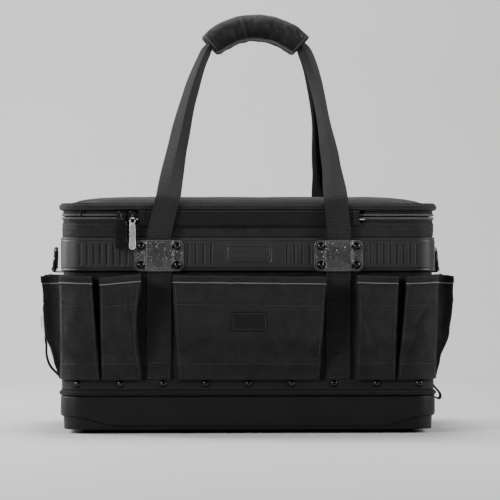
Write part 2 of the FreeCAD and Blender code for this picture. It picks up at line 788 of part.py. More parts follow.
def handle_strap():
    core = arch(rectangle_section(core_thickness, core_width))
    legs = handle_leg(-1, leg_shoulder_left) + handle_leg(1, leg_shoulder_right)
    return core.fuse(legs)


hole_section = rectangle_section(core_thickness + 2 * grip_play, core_width + 2 * grip_play)
core_hole = arch(hole_section)
foam_outside = ellipse_section(grip_height - 2 * grip_skin, grip_depth - 2 * grip_skin)
foam = arch(foam_outside)
skin = arch(ellipse_section(grip_height, grip_depth)).cut(foam)
front_handle = {
    "handle_strap": handle_strap(),
    "grip_foam": foam.cut(core_hole),
    "grip_leather": skin,
}
for name, shape in front_handle.items():
    add("front_" + name, shape)
    add("back_" + name, mirrored(shape, Vector(0, 1, 0)))


# ---- D-rings and their webbing tabs ----------------------------------------------------------
def d_ring():
    """D-shaped ring in the plane of the right end wall, its straight bar at the bottom."""
    start = Vector(ring_x, 0, ring_z)
    bar_start = Vector(ring_x, -ring_half_width, ring_z)
    bar = Part.makeCylinder(ring_wire, 2 * ring_half_width, bar_start, Vector(0, 1, 0))
    pieces = []
    for side in (-1, 1):
        foot = Vector(ring_x, side * ring_half_width, ring_z)
        pieces.append(Part.makeSphere(ring_wire, foot))
        pieces.append(Part.makeCylinder(ring_wire, ring_leg, foot, Vector(0, 0, 1)))
    shoulder = Vector(ring_x, ring_half_width, ring_z + ring_leg)
    bow_centre = Vector(ring_x, 0, ring_z + ring_leg)
    wire_face = Part.Face(Part.Wire([Part.makeCircle(ring_wire, shoulder, Vector(0, 0, 1))]))
    bow = wire_face.revolve(bow_centre, Vector(1, 0, 0), 180)
    shape = bar.fuse(pieces + [bow])
    shape.rotate(start, Vector(0, 1, 0), -ring_lean)
    return shape


def ring_tab():
    """Webbing tab sewn to the end wall under the band, looped round the ring's bar."""
    bore = ring_wire + ring_tab_clearance
    outside = bore + ring_tab_wall
    half = ring_tab_width / 2
    start = Vector(ring_x, -half, ring_z)
    loop = Part.makeCylinder(outside, ring_tab_width, start, Vector(0, 1, 0))
    tail = block(half_length, ring_x, -half, half, ring_z - outside, ring_z - bore)
    hole = Part.makeCylinder(bore, ring_tab_width + 2, start - Vector(0, 1, 0), Vector(0, 1, 0))
    band_clear = block(half_length - 1, half_length + band + 0.1, -half - 1, half + 1,
                       band_bottom, band_top)
    return loop.fuse(tail).cut([hole, band_clear])


add("right_d_ring", d_ring())
add("left_d_ring", mirrored(d_ring(), Vector(1, 0, 0)))
add("ring_tabs", Part.makeCompound([ring_tab(), mirrored(ring_tab(), Vector(1, 0, 0))]))


# ---- fittings on the ends --------------------------------------------------------------------
def tape_clip():
    """Steel belt-clip plate on the front pocket of the left end, with an outward hook at its top."""
    low = pocket_depth_at(clip_rise)
    high = pocket_depth_at(clip_rise + clip_height)
    z0 = strip_top + clip_rise
    z1 = z0 + clip_height
    y0 = -clip_position - clip_width / 2
    x_low = -half_length - low
    x_high = -half_length - high
    profile = [(x_low, z0), (x_high, z1), (x_high - clip_thickness, z1 + clip_thickness),
               (x_low - clip_thickness, z0)]
    plate = prism([Vector(x, y0, z) for x, z in profile], Vector(0, clip_width, 0))
    root = x_high - 0.5
    shoulder = x_high - clip_hook
    tip = (x_low + x_high) / 2 - clip_hook
    tip_z = (z0 + z1) / 2 - clip_hook_below
    hook_profile = [(root, z1 - 1), (shoulder, z1 - 3), (tip, tip_z), (tip + clip_thickness, tip_z),
                    (shoulder + clip_thickness, z1 - 4), (root, z1 - 2.5)]
    hook_width = clip_width - 2 * clip_hook_inset
    hook_points = [Vector(x, y0 + clip_hook_inset, z) for x, z in hook_profile]
    return plate.fuse(prism(hook_points, Vector(0, hook_width, 0)))


def tool_loop():
    """Webbing loop on the left end that bows out from the pocket's face down to the rivet strip."""
    top = pocket_depth_at(loop_rise) + 0.1
    seam = pocket_depth_at(loop_rise - loop_seam) + 0.2
    widest = loop_rise * 0.73
    middle = loop_rise * 0.5
    low = loop_rise * 0.24
    foot = pocket_bottom_depth + 1.5
    tuck = -loop_tuck
    outer = [(top, loop_rise), (top + webbing, loop_rise), (loop_bulge + webbing, widest),
             (loop_bulge + webbing - 1.5, middle), (loop_bulge - 5, low),
             (foot + webbing + 1, -1), (strip + webbing, -5), (strip + webbing, tuck)]
    inner = [(strip, tuck), (strip, -4.5), (foot, 0.5), (loop_bulge - 7.5, low),
             (loop_bulge - 1.5, middle), (loop_bulge, widest), (seam, loop_rise - loop_seam)]
    start = -loop_position - loop_width / 2
    points = [Vector(-half_length - depth, start, strip_top + rise) for depth, rise in outer + inner]
    return prism(points, Vector(0, loop_width, 0))


def strap_tail():
    """Folded webbing tail that hangs at the foot of the right end."""
    x0 = half_length + strip + 0.2
    z1 = strip_top
    fold = x0 + tail_thickness
    bulge = x0 + tail_reach
    foot = z1 - tail_drop
    outer = [(x0, z1), (fold, z1), (bulge, foot + tail_fold), (bulge - 7, foot)]
    inner = [(fold + tail_thickness, foot + 4), (bulge - 5, foot + tail_fold + 1), (fold, z1 - 9),
             (x0, z1 - 7)]
    points = [Vector(x, -tail_position, z) for x, z in outer + inner]
    return prism(points, Vector(0, tail_width, 0))


add("tape_clip", tape_clip())
add("tool_loop", tool_loop())
add("strap_tail", strap_tail())

# ---- files -----------------------------------------------------------------------------------
os.makedirs("parts", exist_ok=True)
for name, shape in parts.items():
    if not shape.isValid():
        print("not valid:", name)
    shape.exportStep("parts/" + name + ".step")
print(len(parts), "nodes")
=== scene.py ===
import math

import bmesh
import bpy
import numpy as np
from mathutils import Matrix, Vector, noise
from mathutils.bvhtree import BVHTree


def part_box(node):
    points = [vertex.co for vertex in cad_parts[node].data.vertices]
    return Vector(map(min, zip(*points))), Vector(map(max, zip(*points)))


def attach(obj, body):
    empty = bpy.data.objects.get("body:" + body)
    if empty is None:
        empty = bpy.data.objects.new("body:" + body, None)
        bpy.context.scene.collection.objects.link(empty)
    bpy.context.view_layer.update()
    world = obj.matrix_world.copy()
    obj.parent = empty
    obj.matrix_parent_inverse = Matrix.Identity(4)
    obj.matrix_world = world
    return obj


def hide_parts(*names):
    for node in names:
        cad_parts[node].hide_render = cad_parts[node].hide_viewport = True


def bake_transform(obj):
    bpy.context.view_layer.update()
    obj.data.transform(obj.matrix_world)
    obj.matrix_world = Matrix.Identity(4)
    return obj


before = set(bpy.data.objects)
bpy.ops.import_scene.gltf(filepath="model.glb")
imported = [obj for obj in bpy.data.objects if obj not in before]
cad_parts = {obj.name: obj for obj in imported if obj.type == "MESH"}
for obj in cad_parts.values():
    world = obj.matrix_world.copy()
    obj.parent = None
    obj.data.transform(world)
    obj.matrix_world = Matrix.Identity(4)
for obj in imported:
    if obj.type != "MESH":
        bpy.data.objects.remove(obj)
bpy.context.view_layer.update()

# Zip-lidded tool bag. Metres, +Z up, the bag's front towards -Y. Every place comes from the frame's
# nodes, and the sizes named here are the ones that the frame doesn't give.
CORNER = 0.026              # plan radius of the fabric wall
FABRIC = 0.0016             # thickness of the wall's nylon

wall_low, wall_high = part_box("body_wall")
tub_low, tub_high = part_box("base_tub")
welt_low, welt_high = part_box("base_welt")
strip_low, strip_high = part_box("rivet_strip")
band_low, band_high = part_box("impact_band")
collar_low, collar_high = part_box("collar")
rim_low, rim_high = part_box("lid_border")
lid_low, lid_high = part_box("lid_top")
panel_low, panel_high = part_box("hinge_panel_lower")
HALF_X = wall_high.x
HALF_Y = wall_high.y
TUB_TOP = wall_low.z
STRIP_TOP = strip_high.z
POCKET_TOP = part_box("front_centre_pocket")[1].z
ZIP_MID = (collar_high.z + rim_low.z) / 2
STRAP_X = sum(v.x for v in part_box("front_right_strap")) / 2
STRAP_HALF = (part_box("front_right_strap")[1].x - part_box("front_right_strap")[0].x) / 2
PANEL_HALF = panel_high.x


# ---- mesh helpers --------------------------------------------------------------------------------
def new_object(name, mesh, material, body=None, stands_for=()):
    """Links a mesh as a piece, gives it its material and lets it ride on its body."""
    piece = bpy.data.objects.new(name, mesh)
    bpy.context.scene.collection.objects.link(piece)
    if material is not None and not mesh.materials:
        mesh.materials.append(material)
    if body:
        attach(piece, body)
    if stands_for:
        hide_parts(*stands_for)
    return piece


def shade(mesh, sharp):
    """Smooth shading that breaks at edges of more than this many degrees."""
    mesh.polygons.foreach_set("use_smooth", [True] * len(mesh.polygons))
    mesh.set_sharp_from_angle(angle=math.radians(sharp))


def mesh_from(name, verts, faces, uvs=None, sharp=45):
    """Smooth-shaded mesh; uvs, one per vertex, are distances over the surface in metres."""
    mesh = bpy.data.meshes.new(name)
    mesh.from_pydata([tuple(v) for v in verts], [], faces)
    if uvs is not None:
        layer = mesh.uv_layers.new(name="UVMap")
        corners = np.empty(len(mesh.loops), np.int32)
        mesh.loops.foreach_get("vertex_index", corners)
        layer.data.foreach_set("uv", np.asarray(uvs, np.float32)[corners].ravel())
    shade(mesh, sharp)
    mesh.update()
    return mesh


def grid_faces(rows, columns, close_rows=False, close_columns=False):
    """Quads of a grid whose vertices are stored row by row."""
    faces = []
    for i in range(rows if close_rows else rows - 1):
        for j in range(columns if close_columns else columns - 1):
            k = (i + 1) % rows
            m = (j + 1) % columns
            faces.append((i * columns + j, i * columns + m, k * columns + m, k * columns + j))
    return faces


def cap_ends(faces, rows, loop):
    """Closes the first and the last row of a grid whose rows are loops."""
    faces.append(tuple(range(loop)))
    faces.append(tuple(reversed(range((rows - 1) * loop, rows * loop))))


def merged(parts):
    """Several (verts, faces, uvs) put together as one."""
    verts = []
    faces = []
    uvs = []
    for part_verts, part_faces, part_uvs in parts:
        base = len(verts)
        verts += part_verts
        uvs += part_uvs
        faces += [tuple(base + i for i in face) for face in part_faces]
    return verts, faces, uvs


def turn_outwards(mesh, weld=0.0, sliver=0.0):
    """Turns the faces outwards, after joining points nearer than weld and removing slivers."""
    shape = bmesh.new()
    shape.from_mesh(mesh)
    if weld:
        bmesh.ops.remove_doubles(shape, verts=shape.verts, dist=weld)
    if sliver:
        bmesh.ops.dissolve_degenerate(shape, edges=shape.edges, dist=sliver)
    bmesh.ops.recalc_face_normals(shape, faces=shape.faces)
    shape.to_mesh(mesh)
    shape.free()


def smooth(t):
    t = min(1.0, max(0.0, t))
    return t * t * (3 - 2 * t)


def ramp(value, points, ease=smooth):
    """Interpolation through (value, result) pairs in rising order, eased between them."""
    if value <= points[0][0]:
        return points[0][1]
    for (a, ra), (b, rb) in zip(points, points[1:]):
        if value <= b:
            return ra + (rb - ra) * ease((value - a) / (b - a))
    return points[-1][1]


def line(value, points):
    """Straight interpolation through (value, result) pairs in rising order."""
    return ramp(value, points, lambda t: t)


def spread(low, high, steps):
    """Even values from low to high."""
    return [low + (high - low) * i / steps for i in range(steps + 1)]


def dip(away, width):
    """A soft bump: 1 in its middle, and falling off to nothing beyond width."""
    return math.exp(-(away / width) ** 2)


def distances(points, axes=3):
    """How far along its line each point lies."""
    run = [0.0]
    for a, b in zip(points, points[1:]):
        run.append(run[-1] + math.dist(a[:axes], b[:axes]))
    return run


def heading(points, i):
    """Direction of a line of points at one of them."""
    return (points[min(i + 1, len(points) - 1)] - points[max(i - 1, 0)]).normalized()


def rough(x, y, z, size, seed=0.0):
    """Soft noise from -1 to 1 with features about size metres across."""
    return noise.noise(Vector((x / size + seed, y / size - seed, z / size + 2.7 * seed)))


def plan_path(step, corner_steps=14, breaks=()):
    """Points round the wall's plan outline: (x, y, normal x, normal y), starting at the middle of the
    back and running so that the outside is on the right."""
    straight_x = HALF_X - CORNER
    straight_y = HALF_Y - CORNER
    points = []

    def run(x0, y0, x1, y1, nx, ny):
        count = max(1, round(math.hypot(x1 - x0, y1 - y0) / step))
        marks = {i / count for i in range(count)}
        for b in breaks:
            t = (b - x0) / (x1 - x0) if x1 != x0 else -1
            if 0 < t < 1:
                marks.add(t)
        for t in sorted(marks):
            points.append((x0 + (x1 - x0) * t, y0 + (y1 - y0) * t, nx, ny))

    def bend(cx, cy, start):
        for i in range(corner_steps):
            a = start + math.pi / 2 * i / corner_steps
            points.append((cx + CORNER * math.cos(a), cy + CORNER * math.sin(a), math.cos(a), math.sin(a)))

    run(straight_x, HALF_Y, -straight_x, HALF_Y, 0, 1)
    bend(-straight_x, straight_y, math.pi / 2)
    run(-HALF_X, straight_y, -HALF_X, -straight_y, -1, 0)
    bend(-straight_x, -straight_y, math.pi)
    run(-straight_x, -HALF_Y, straight_x, -HALF_Y, 0, -1)
    bend(straight_x, -straight_y, 1.5 * math.pi)
    run(HALF_X, -straight_y, HALF_X, straight_y, 1, 0)
    bend(straight_x, straight_y, 0)
    return points


def kept_stretch(path, keep):
    """The one stretch of the closed plan path where keep(x, y) holds."""
    inside = [bool(keep(p[0], p[1])) for p in path]
    first = next(i for i in range(len(path)) if inside[i] and not inside[i - 1])
    return [path[(first + i) % len(path)] for i in range(len(path)) if inside[(first + i) % len(path)]]


def along_plan(path, lift, z):
    """Points at an offset and a height along a plan path, and the outward direction at each."""
    points = [(x + nx * lift, y + ny * lift, z) for x, y, nx, ny in path]
    return points, [Vector((nx, ny, 0)) for x, y, nx, ny in path]


def sweep(name, profile, step=0.008, wobble=0.0, wobble_size=0.04, keep=None, shape=None, corner_steps=14,
          breaks=(), close=True, sharp=40):
    """Sweeps a profile of (offset, height) points round the plan outline. shape(x, y, o, z) may move
    a point; keep(x, y) says which stretch of the outline there is."""
    path = plan_path(step, corner_steps, breaks)
    if keep:
        path = kept_stretch(path, keep)
    across = distances(profile)
    verts = []
    uvs = []
    for (x, y, nx, ny), run in zip(path, distances(path, 2)):
        for (o, z), v in zip(profile, across):
            oo, zz = shape(x, y, o, z) if shape else (o, z)
            if wobble:
                oo += wobble * rough(x + nx * o, y + ny * o, z, wobble_size, 3.1)
            verts.append((x + nx * oo, y + ny * oo, zz))
            uvs.append((run, v))
    count = len(profile)
    faces = grid_faces(len(path), count, close_rows=not keep, close_columns=close)
    faces = [tuple(reversed(f)) for f in faces]
    if keep and close:
        cap_ends(faces, len(path), count)
    return mesh_from(name, verts, faces, uvs, sharp)


def arc_points(cx, cz, radius_o, radius_z, start, end, steps):
    """Profile points of an ellipse arc, angles in degrees from the outward direction."""
    points = []
    for i in range(steps + 1):
        a = math.radians(start + (end - start) * i / steps)
        points.append((cx + radius_o * math.cos(a), cz + radius_z * math.sin(a)))
    return points


def add_modifier(piece, kind, **settings):
    modifier = piece.modifiers.new(kind.lower(), kind)
    for key, value in settings.items():
        setattr(modifier, key, value)
    return modifier


def apply_modifiers(piece):
    """Bakes the modifiers into the piece's own mesh."""
    graph = bpy.context.evaluated_depsgraph_get()
    mesh = bpy.data.meshes.new_from_object(piece.evaluated_get(graph))
    piece.modifiers.clear()
    piece.data = mesh
    return piece


def thicken(piece, thickness, sharp=None, bevel=0.0):
    """Gives a sheet its thickness, inwards from its face, and softens its rim."""
    add_modifier(piece, "SOLIDIFY", thickness=thickness, offset=-1.0)
    if bevel:
        add_modifier(piece, "BEVEL", width=bevel, segments=2, angle_limit=math.radians(50))
    apply_modifiers(piece)
    if sharp:
        shade(piece.data, sharp)


def face_towards(mesh, direction, face=0):
    """Flips an open sheet if one of its faces looks away from a direction."""
    if mesh.polygons[face].normal.dot(Vector(direction)) < 0:
        mesh.flip_normals()


# Stitches as (pitch, length, width, height).
WALL_STITCH = (0.0042, 0.0031, 0.0009, 0.0008)
TACK_STITCH = (0.0032, 0.0026, 0.0009, 0.0008)
ZIGZAG_STITCH = (0.0024, 0.0019, 0.0009, 0.0008)
STRAP_STITCH = (0.0030, 0.0021, 0.0010, 0.0008)
PLATE_STITCH = (0.0036, 0.0027, 0.0008, 0.0007)
RIM_STITCH = (0.0040, 0.0030, 0.0009, 0.0008)
PANEL_STITCH = (0.0038, 0.0028, 0.0009, 0.0008)
COIL_STITCH = (0.0030, 0.0024, 0.0006, 0.0005)
TAPE_STITCH = (0.0036, 0.0028, 0.0007, 0.0006)
GRIP_STITCH = (0.0042, 0.0032, 0.0009, 0.0008)
GRIP_END_STITCH = (0.0038, 0.0029, 0.0008, 0.0007)
LABEL_STITCH = (0.0030, 0.0022, 0.0006, 0.0005)
BEAD_PROFILE = ((-0.5, 0.35), (-0.32, 1.0), (0.32, 1.0), (0.5, 0.35))


class Bits:
    """Many small solids gathered into one mesh, such as stitches or zip teeth."""

    def __init__(self):
        self.verts = []
        self.faces = []
        self.uvs = []

    def add(self, verts, faces):
        base = len(self.verts)
        self.verts += [tuple(v) for v in verts]
        self.uvs += [(v[0] + v[1], v[2]) for v in verts]
        self.faces += [tuple(base + i for i in f) for f in faces]

    def bead(self, centre, along, up, length, width, height, sides=6):
        """A rounded thread or tooth: a short tube with tapered ends."""
        centre = Vector(centre)
        along = Vector(along).normalized()
        up = Vector(up)
        up = (up - along * up.dot(along)).normalized()
        side = along.cross(up)
        verts = []
        for t, k in BEAD_PROFILE:
            for i in range(sides):
                a = 2 * math.pi * i / sides
                verts.append(centre + along * (t * length) + side * (math.cos(a) * width / 2 * k)
                             + up * (math.sin(a) * height / 2 * k))
        faces = grid_faces(len(BEAD_PROFILE), sides, close_columns=True)
        faces.append(tuple(reversed(range(sides))))
        faces.append(tuple(range(3 * sides, 4 * sides)))
        self.add(verts, faces)

    def seam(self, points, up, pitch, length, width, height):
        """Stitches along a line of points. up is one direction or one for each point."""
        points = [Vector(p) for p in points]
        ups = up if isinstance(up, list) else [up] * len(points)
        travelled = 0.0
        target = pitch / 2
        for a, b, u in zip(points, points[1:], ups):
            span = (b - a).length
            while span > 0 and target <= travelled + span:
                self.bead(a.lerp(b, (target - travelled) / span), b - a, u, length, width, height)
                target += pitch
            travelled += span

    def piece(self, name, material, body, slot=None):
        return new_object(name, mesh_from(name, self.verts, self.faces, self.uvs, 60), material, body)


def strip_plate(rows, place, steps=12, power=6):
    """A flat piece with soft edges: rows of (distance along, half width, thickness). place(u, v, w) puts
    a point that is u across, v along and w out. Returns verts, faces and UVs."""
    verts = []
    uvs = []
    loop = 2 * steps
    for v, half, thick in rows:
        for k in range(loop):
            a = 2 * math.pi * (k + 0.5) / loop
            ca, sa = math.cos(a), math.sin(a)
            u = half * math.copysign(abs(ca) ** (2 / power), ca)
            w = thick / 2 * math.copysign(abs(sa) ** (2 / power), sa)
            verts.append(place(u, v, w))
            uvs.append((u, v))
    faces = grid_faces(len(rows), loop, close_columns=True)
    cap_ends(faces, len(rows), loop)
    return verts, faces, uvs


def tube(points, radius, sides=10, closed=False):
    """Round wire along points."""
    verts = []
    uvs = []
    count = len(points)
    for i, (p, run) in enumerate(zip(points, distances(points))):
        a = points[(i - 1) % count] if closed or i else points[0]
        b = points[(i + 1) % count] if closed or i < count - 1 else points[-1]
        along = (b - a).normalized()
        ref = Vector((0, 1, 0)) if abs(along.y) < 0.9 else Vector((1, 0, 0))
        side = along.cross(ref).normalized()
        up = side.cross(along)
        for k in range(sides):
            t = 2 * math.pi * k / sides
            verts.append(p + side * (radius * math.cos(t)) + up * (radius * math.sin(t)))
            uvs.append((run, k * radius / 2))
    faces = grid_faces(count, sides, close_rows=closed, close_columns=True)
    if not closed:
        cap_ends(faces, count, sides)
    return verts, faces, uvs


def wire_ring(x, y, z, wide, tall, radius, steps):
    """Upright ring of wire, wide and tall being the radii of its centre line."""
    points = []
    for i in range(steps):
        a = 2 * math.pi * i / steps
        points.append(Vector((x + wide * math.cos(a), y, z + tall * math.sin(a))))
    return tube(points, radius, 10, True)


def gathered(name, parts, material, body=None, stands_for=(), sharp=40):
    """One piece from several closed shapes of (verts, faces, uvs)."""
    mesh = mesh_from(name, *merged(parts), sharp)
    turn_outwards(mesh)
    mesh.set_sharp_from_angle(angle=math.radians(sharp))
    return new_object(name, mesh, material, body, stands_for)


# ---- materials -------------------------------------------------------------------------------------
class Finish:
    """Builds one node material around a Principled shader. Lengths are in metres."""

    def __init__(self, name, roughness=0.6, metallic=0.0, **sockets):
        self.material = bpy.data.materials.new(name)
        self.material.use_nodes = True
        self.tree = self.material.node_tree
        self.shader = self.tree.nodes["Principled BSDF"]
        self.shader.inputs["Metallic"].default_value = metallic
        self.shader.inputs["Roughness"].default_value = roughness
        for key, value in sockets.items():
            self.shader.inputs[key.replace("_", " ")].default_value = value
        self.coordinates = self.tree.nodes.new("ShaderNodeTexCoord")
        self.last_normal = None

    def node(self, kind, values=(), **settings):
        made = self.tree.nodes.new(kind)
        for key, value in settings.items():
            setattr(made, key, value)
        for key, value in values:
            if isinstance(value, bpy.types.NodeSocket):
                self.tree.links.new(value, made.inputs[key])
            else:
                made.inputs[key].default_value = value
        return made

    def maths(self, operation, a, b=0.0):
        return self.node("ShaderNodeMath", ((0, a), (1, b)), operation=operation).outputs[0]

    def ranged(self, value, low, high, to_low, to_high):
        made = self.node("ShaderNodeMapRange", (("Value", value), ("From Min", low), ("From Max", high),
                                                ("To Min", to_low), ("To Max", to_high)))
        return made.outputs["Result"]

    def noise(self, size, detail=3.0, roughness=0.55, stretch=None):
        where = self.coordinates.outputs["Object"]
        if stretch:
            stretched = self.node("ShaderNodeVectorMath", ((0, where), (1, stretch)), operation="MULTIPLY")
            where = stretched.outputs[0]
        made = self.node("ShaderNodeTexNoise", (("Vector", where), ("Scale", 1 / size), ("Detail", detail),
                                                ("Roughness", roughness)))
        return made.outputs["Fac"]

    def cells(self, size):
        """Distance to the nearest edge between cells."""
        where = self.coordinates.outputs["Object"]
        made = self.node("ShaderNodeTexVoronoi", (("Vector", where), ("Scale", 1 / size)),
                         feature="DISTANCE_TO_EDGE")
        return made.outputs["Distance"]

    def surface(self):
        """Distances along and across the surface."""
        parts = self.node("ShaderNodeSeparateXYZ", ((0, self.coordinates.outputs["UV"]),))
        return parts.outputs["X"], parts.outputs["Y"]

    def wave(self, value, pitch):
        """A ridge from 0 to 1 that repeats at every pitch."""
        turned = self.maths("MULTIPLY", value, 2 * math.pi / pitch)
        return self.maths("MULTIPLY_ADD", self.maths("SINE", turned), 0.5)

    def weave(self, pitch_u, pitch_v):
        """Height of threads that pass over and under each other."""
        u, v = self.surface()
        a = self.maths("SINE", self.maths("MULTIPLY", u, math.pi / pitch_u))
        b = self.maths("SINE", self.maths("MULTIPLY", v, math.pi / pitch_v))
        return self.ranged(self.maths("MULTIPLY", a, b), -1, 1, 0, 1)

    def blend(self, factor, a, b):
        """Colour from a, at factor 0, to b, at factor 1."""
        made = self.node("ShaderNodeMix", (("Factor", factor),), data_type="RGBA")
        for socket, value in ((made.inputs[6], a), (made.inputs[7], b)):
            if isinstance(value, bpy.types.NodeSocket):
                self.tree.links.new(value, socket)
            else:
                socket.default_value = (*value, 1.0)
        return made.outputs[2]

    def colour(self, socket):
        self.tree.links.new(socket, self.shader.inputs["Base Color"])

    def gloss(self, socket):
        self.tree.links.new(socket, self.shader.inputs["Roughness"])

    def bump(self, height, depth):
        values = [("Height", height), ("Distance", depth), ("Strength", 1.0)]
        if self.last_normal:
            values.append(("Normal", self.last_normal))
        self.last_normal = self.node("ShaderNodeBump", values).outputs["Normal"]
        self.tree.links.new(self.last_normal, self.shader.inputs["Normal"])


def grey(value, warmth=0.0):
    """A neutral colour; warmth moves it towards brown, or towards blue when negative."""
    return (value * (1 + warmth), value, value * (1 - warmth))


def nylon(name, dark, light, pitch, warmth=0.06):
    """Coarse woven nylon: threads, lint-like mottling and slightly polished high spots."""
    f = Finish(name, Sheen_Weight=0.03, Sheen_Roughness=0.5, Specular_IOR_Level=0.22)
    threads = f.weave(pitch, pitch)
    speckle = f.noise(0.0016, 2.0, 0.7)
    patches = f.noise(0.018, 4.0, 0.6)
    mixed = f.maths("ADD", f.maths("MULTIPLY", threads, 0.35), f.maths("MULTIPLY", speckle, 0.65))
    shade = f.ranged(f.maths("MULTIPLY", mixed, f.ranged(patches, 0.25, 0.75, 0.7, 1.25)), 0.25, 0.8, 0, 1)
    f.colour(f.blend(shade, grey(dark, warmth), grey(light, warmth)))
    f.gloss(f.ranged(speckle, 0.3, 0.7, 0.75, 0.50))
    f.bump(f.noise(0.007, 3.0), 0.0009)
    f.bump(mixed, 0.0009)
    return f.material


def ribbed_webbing(name, rib=0.0026, dark=0.003, light=0.026):
    """Heavy webbing: cross ribs with a fine split down each rib, fuzzy at the edges."""
    f = Finish(name, Sheen_Weight=0.03, Sheen_Roughness=0.5, Specular_IOR_Level=0.25)
    across, along = f.surface()
    wander = f.maths("MULTIPLY", f.noise(0.004, 2.0), 0.0006)
    ribs = f.wave(f.maths("ADD", along, wander), rib)
    fine = f.wave(across, 0.0016)
    speckle = f.noise(0.0012, 2.0, 0.7)
    height = f.maths("ADD", f.maths("MULTIPLY", ribs, 0.7), f.maths("MULTIPLY", fine, 0.3))
    tone = f.maths("ADD", f.maths("MULTIPLY", ribs, 0.6), f.maths("MULTIPLY", speckle, 0.5))
    f.colour(f.blend(f.ranged(tone, 0.15, 0.95, 0, 1), grey(dark, 0.05), grey(light, 0.05)))
    f.gloss(f.ranged(speckle, 0.3, 0.7, 0.75, 0.55))
    f.bump(height, 0.0009)
    f.bump(speckle, 0.0003)
    return f.material


def rubber(name):
    """Bluish charcoal moulded rubber with a satin skin, dust in its grain and rubbed patches."""
    f = Finish(name, Specular_IOR_Level=0.42)
    grain = f.noise(0.0008, 2.0, 0.7)
    patches = f.noise(0.03, 4.0, 0.6)
    rubs = f.noise(0.012, 5.0, 0.7, (0.3, 0.3, 4.0))
    tone = f.maths("ADD", f.maths("MULTIPLY", patches, 0.6), f.maths("MULTIPLY", rubs, 0.4))
    f.colour(f.blend(f.ranged(tone, 0.3, 0.7, 0, 1), grey(0.014, -0.02), grey(0.022, -0.02)))
    f.gloss(f.ranged(rubs, 0.3, 0.7, 0.50, 0.38))
    f.bump(grain, 0.00012)
    f.bump(patches, 0.0006)
    return f.material


def pebbled_leather(name, cell, dark, light, roughness, crease=0.0014, coat=0.35, shine=0.55):
    """Grained leather: rounded pebbles with dark valleys, creases and rubbed high spots."""
    f = Finish(name, Specular_IOR_Level=shine, Coat_Weight=coat, Coat_Roughness=0.2)
    pebbles = f.ranged(f.cells(cell), 0.0, 0.35, 0, 1)
    wear = f.noise(0.02, 4.0, 0.65)
    creases = f.noise(0.009, 3.0, 0.5, (1.0, 1.0, 0.35))
    tone = f.maths("MULTIPLY", pebbles, f.ranged(wear, 0.3, 0.7, 0.4, 1.0))
    f.colour(f.blend(tone, grey(dark, 0.03), grey(light, 0.03)))
    f.gloss(f.ranged(f.maths("MULTIPLY", pebbles, wear), 0.1, 0.6, *roughness))
    f.bump(creases, crease)
    f.bump(pebbles, 0.00035)
    return f.material


def moulded(name, dark, light, roughness=(0.62, 0.45), grain=0.0011, depth=0.00025, warmth=0.02,
            shine=0.35):
    """Injection-moulded plastic with a spark-eroded grain and scuffs that run along it."""
    f = Finish(name, Specular_IOR_Level=shine)
    fine = f.noise(grain, 2.0, 0.6)
    scuffs = f.noise(0.010, 5.0, 0.75, (0.2, 0.2, 1.6))
    cloudy = f.noise(0.05, 3.0)
    tone = f.maths("ADD", f.maths("MULTIPLY", cloudy, 0.5), f.maths("MULTIPLY", scuffs, 0.5))
    f.colour(f.blend(f.ranged(tone, 0.3, 0.7, 0, 1), grey(dark, warmth), grey(light, warmth)))
    f.gloss(f.ranged(scuffs, 0.35, 0.65, *roughness))
    f.bump(fine, depth)
    return f.material


def metal(name, dark, light, roughness, metallic=1.0, brushed=(1.0, 1.0, 0.12)):
    """Polished or lacquered metal with fine brushing and finger-worn blotches."""
    f = Finish(name, metallic=metallic, Specular_IOR_Level=0.6)
    lines = f.noise(0.0010, 3.0, 0.6, brushed)
    wear = f.noise(0.006, 4.0, 0.6)
    f.colour(f.blend(f.ranged(wear, 0.3, 0.7, 0, 1), dark, light))
    f.gloss(f.ranged(wear, 0.3, 0.7, roughness * 0.8, roughness * 1.3))
    f.bump(lines, 0.00004)
    return f.material


def braid(name, dark, light, pitch=0.0014, roughness=0.6):
    """Thread, piping or coil: twisted strands along the surface."""
    f = Finish(name, roughness, Specular_IOR_Level=0.4)
    u, v = f.surface()
    strands = f.wave(f.maths("ADD", u, f.maths("MULTIPLY", v, 0.5)), pitch)
    lint = f.noise(0.0009, 2.0, 0.7)
    tone = f.maths("ADD", f.maths("MULTIPLY", strands, 0.5), f.maths("MULTIPLY", lint, 0.5))
    f.colour(f.blend(f.ranged(tone, 0.2, 0.8, 0, 1), dark, light))
    f.gloss(f.ranged(lint, 0.3, 0.7, roughness * 0.85, roughness * 1.15))
    f.bump(strands, 0.00015)
    return f.material


def woven_label(name, low, high):
    """Satin-woven patch with a plain double border and a generic diamond pattern."""
    f = Finish(name, Specular_IOR_Level=0.2)
    u, v = f.surface()
    threads = f.weave(0.0007, 0.0005)
    width = high.x - low.x
    tall = high.z - low.z
    across = f.maths("ABSOLUTE", f.maths("SUBTRACT", u, width / 2))
    up = f.maths("ABSOLUTE", f.maths("SUBTRACT", v, tall / 2))
    edge = f.maths("MAXIMUM", f.maths("SUBTRACT", across, width / 2), f.maths("SUBTRACT", up, tall / 2))
    border = f.maths("MULTIPLY", f.maths("GREATER_THAN", edge, -0.0032), f.maths("LESS_THAN", edge, -0.0020))
    diamonds = f.maths("ADD", f.wave(u, 0.006), f.wave(v, 0.006))
    inner = f.maths("MULTIPLY", f.maths("GREATER_THAN", diamonds, 1.55), f.maths("LESS_THAN", edge, -0.0062))
    mark = f.maths("MINIMUM", f.maths("ADD", border, f.maths("MULTIPLY", inner, 0.35)), 1.0)
    base = f.blend(threads, grey(0.002), grey(0.006))
    f.colour(f.blend(mark, base, grey(0.014, 0.04)))
    f.gloss(f.ranged(threads, 0, 1, 0.65, 0.5))
    f.bump(threads, 0.0002)
    return f.material


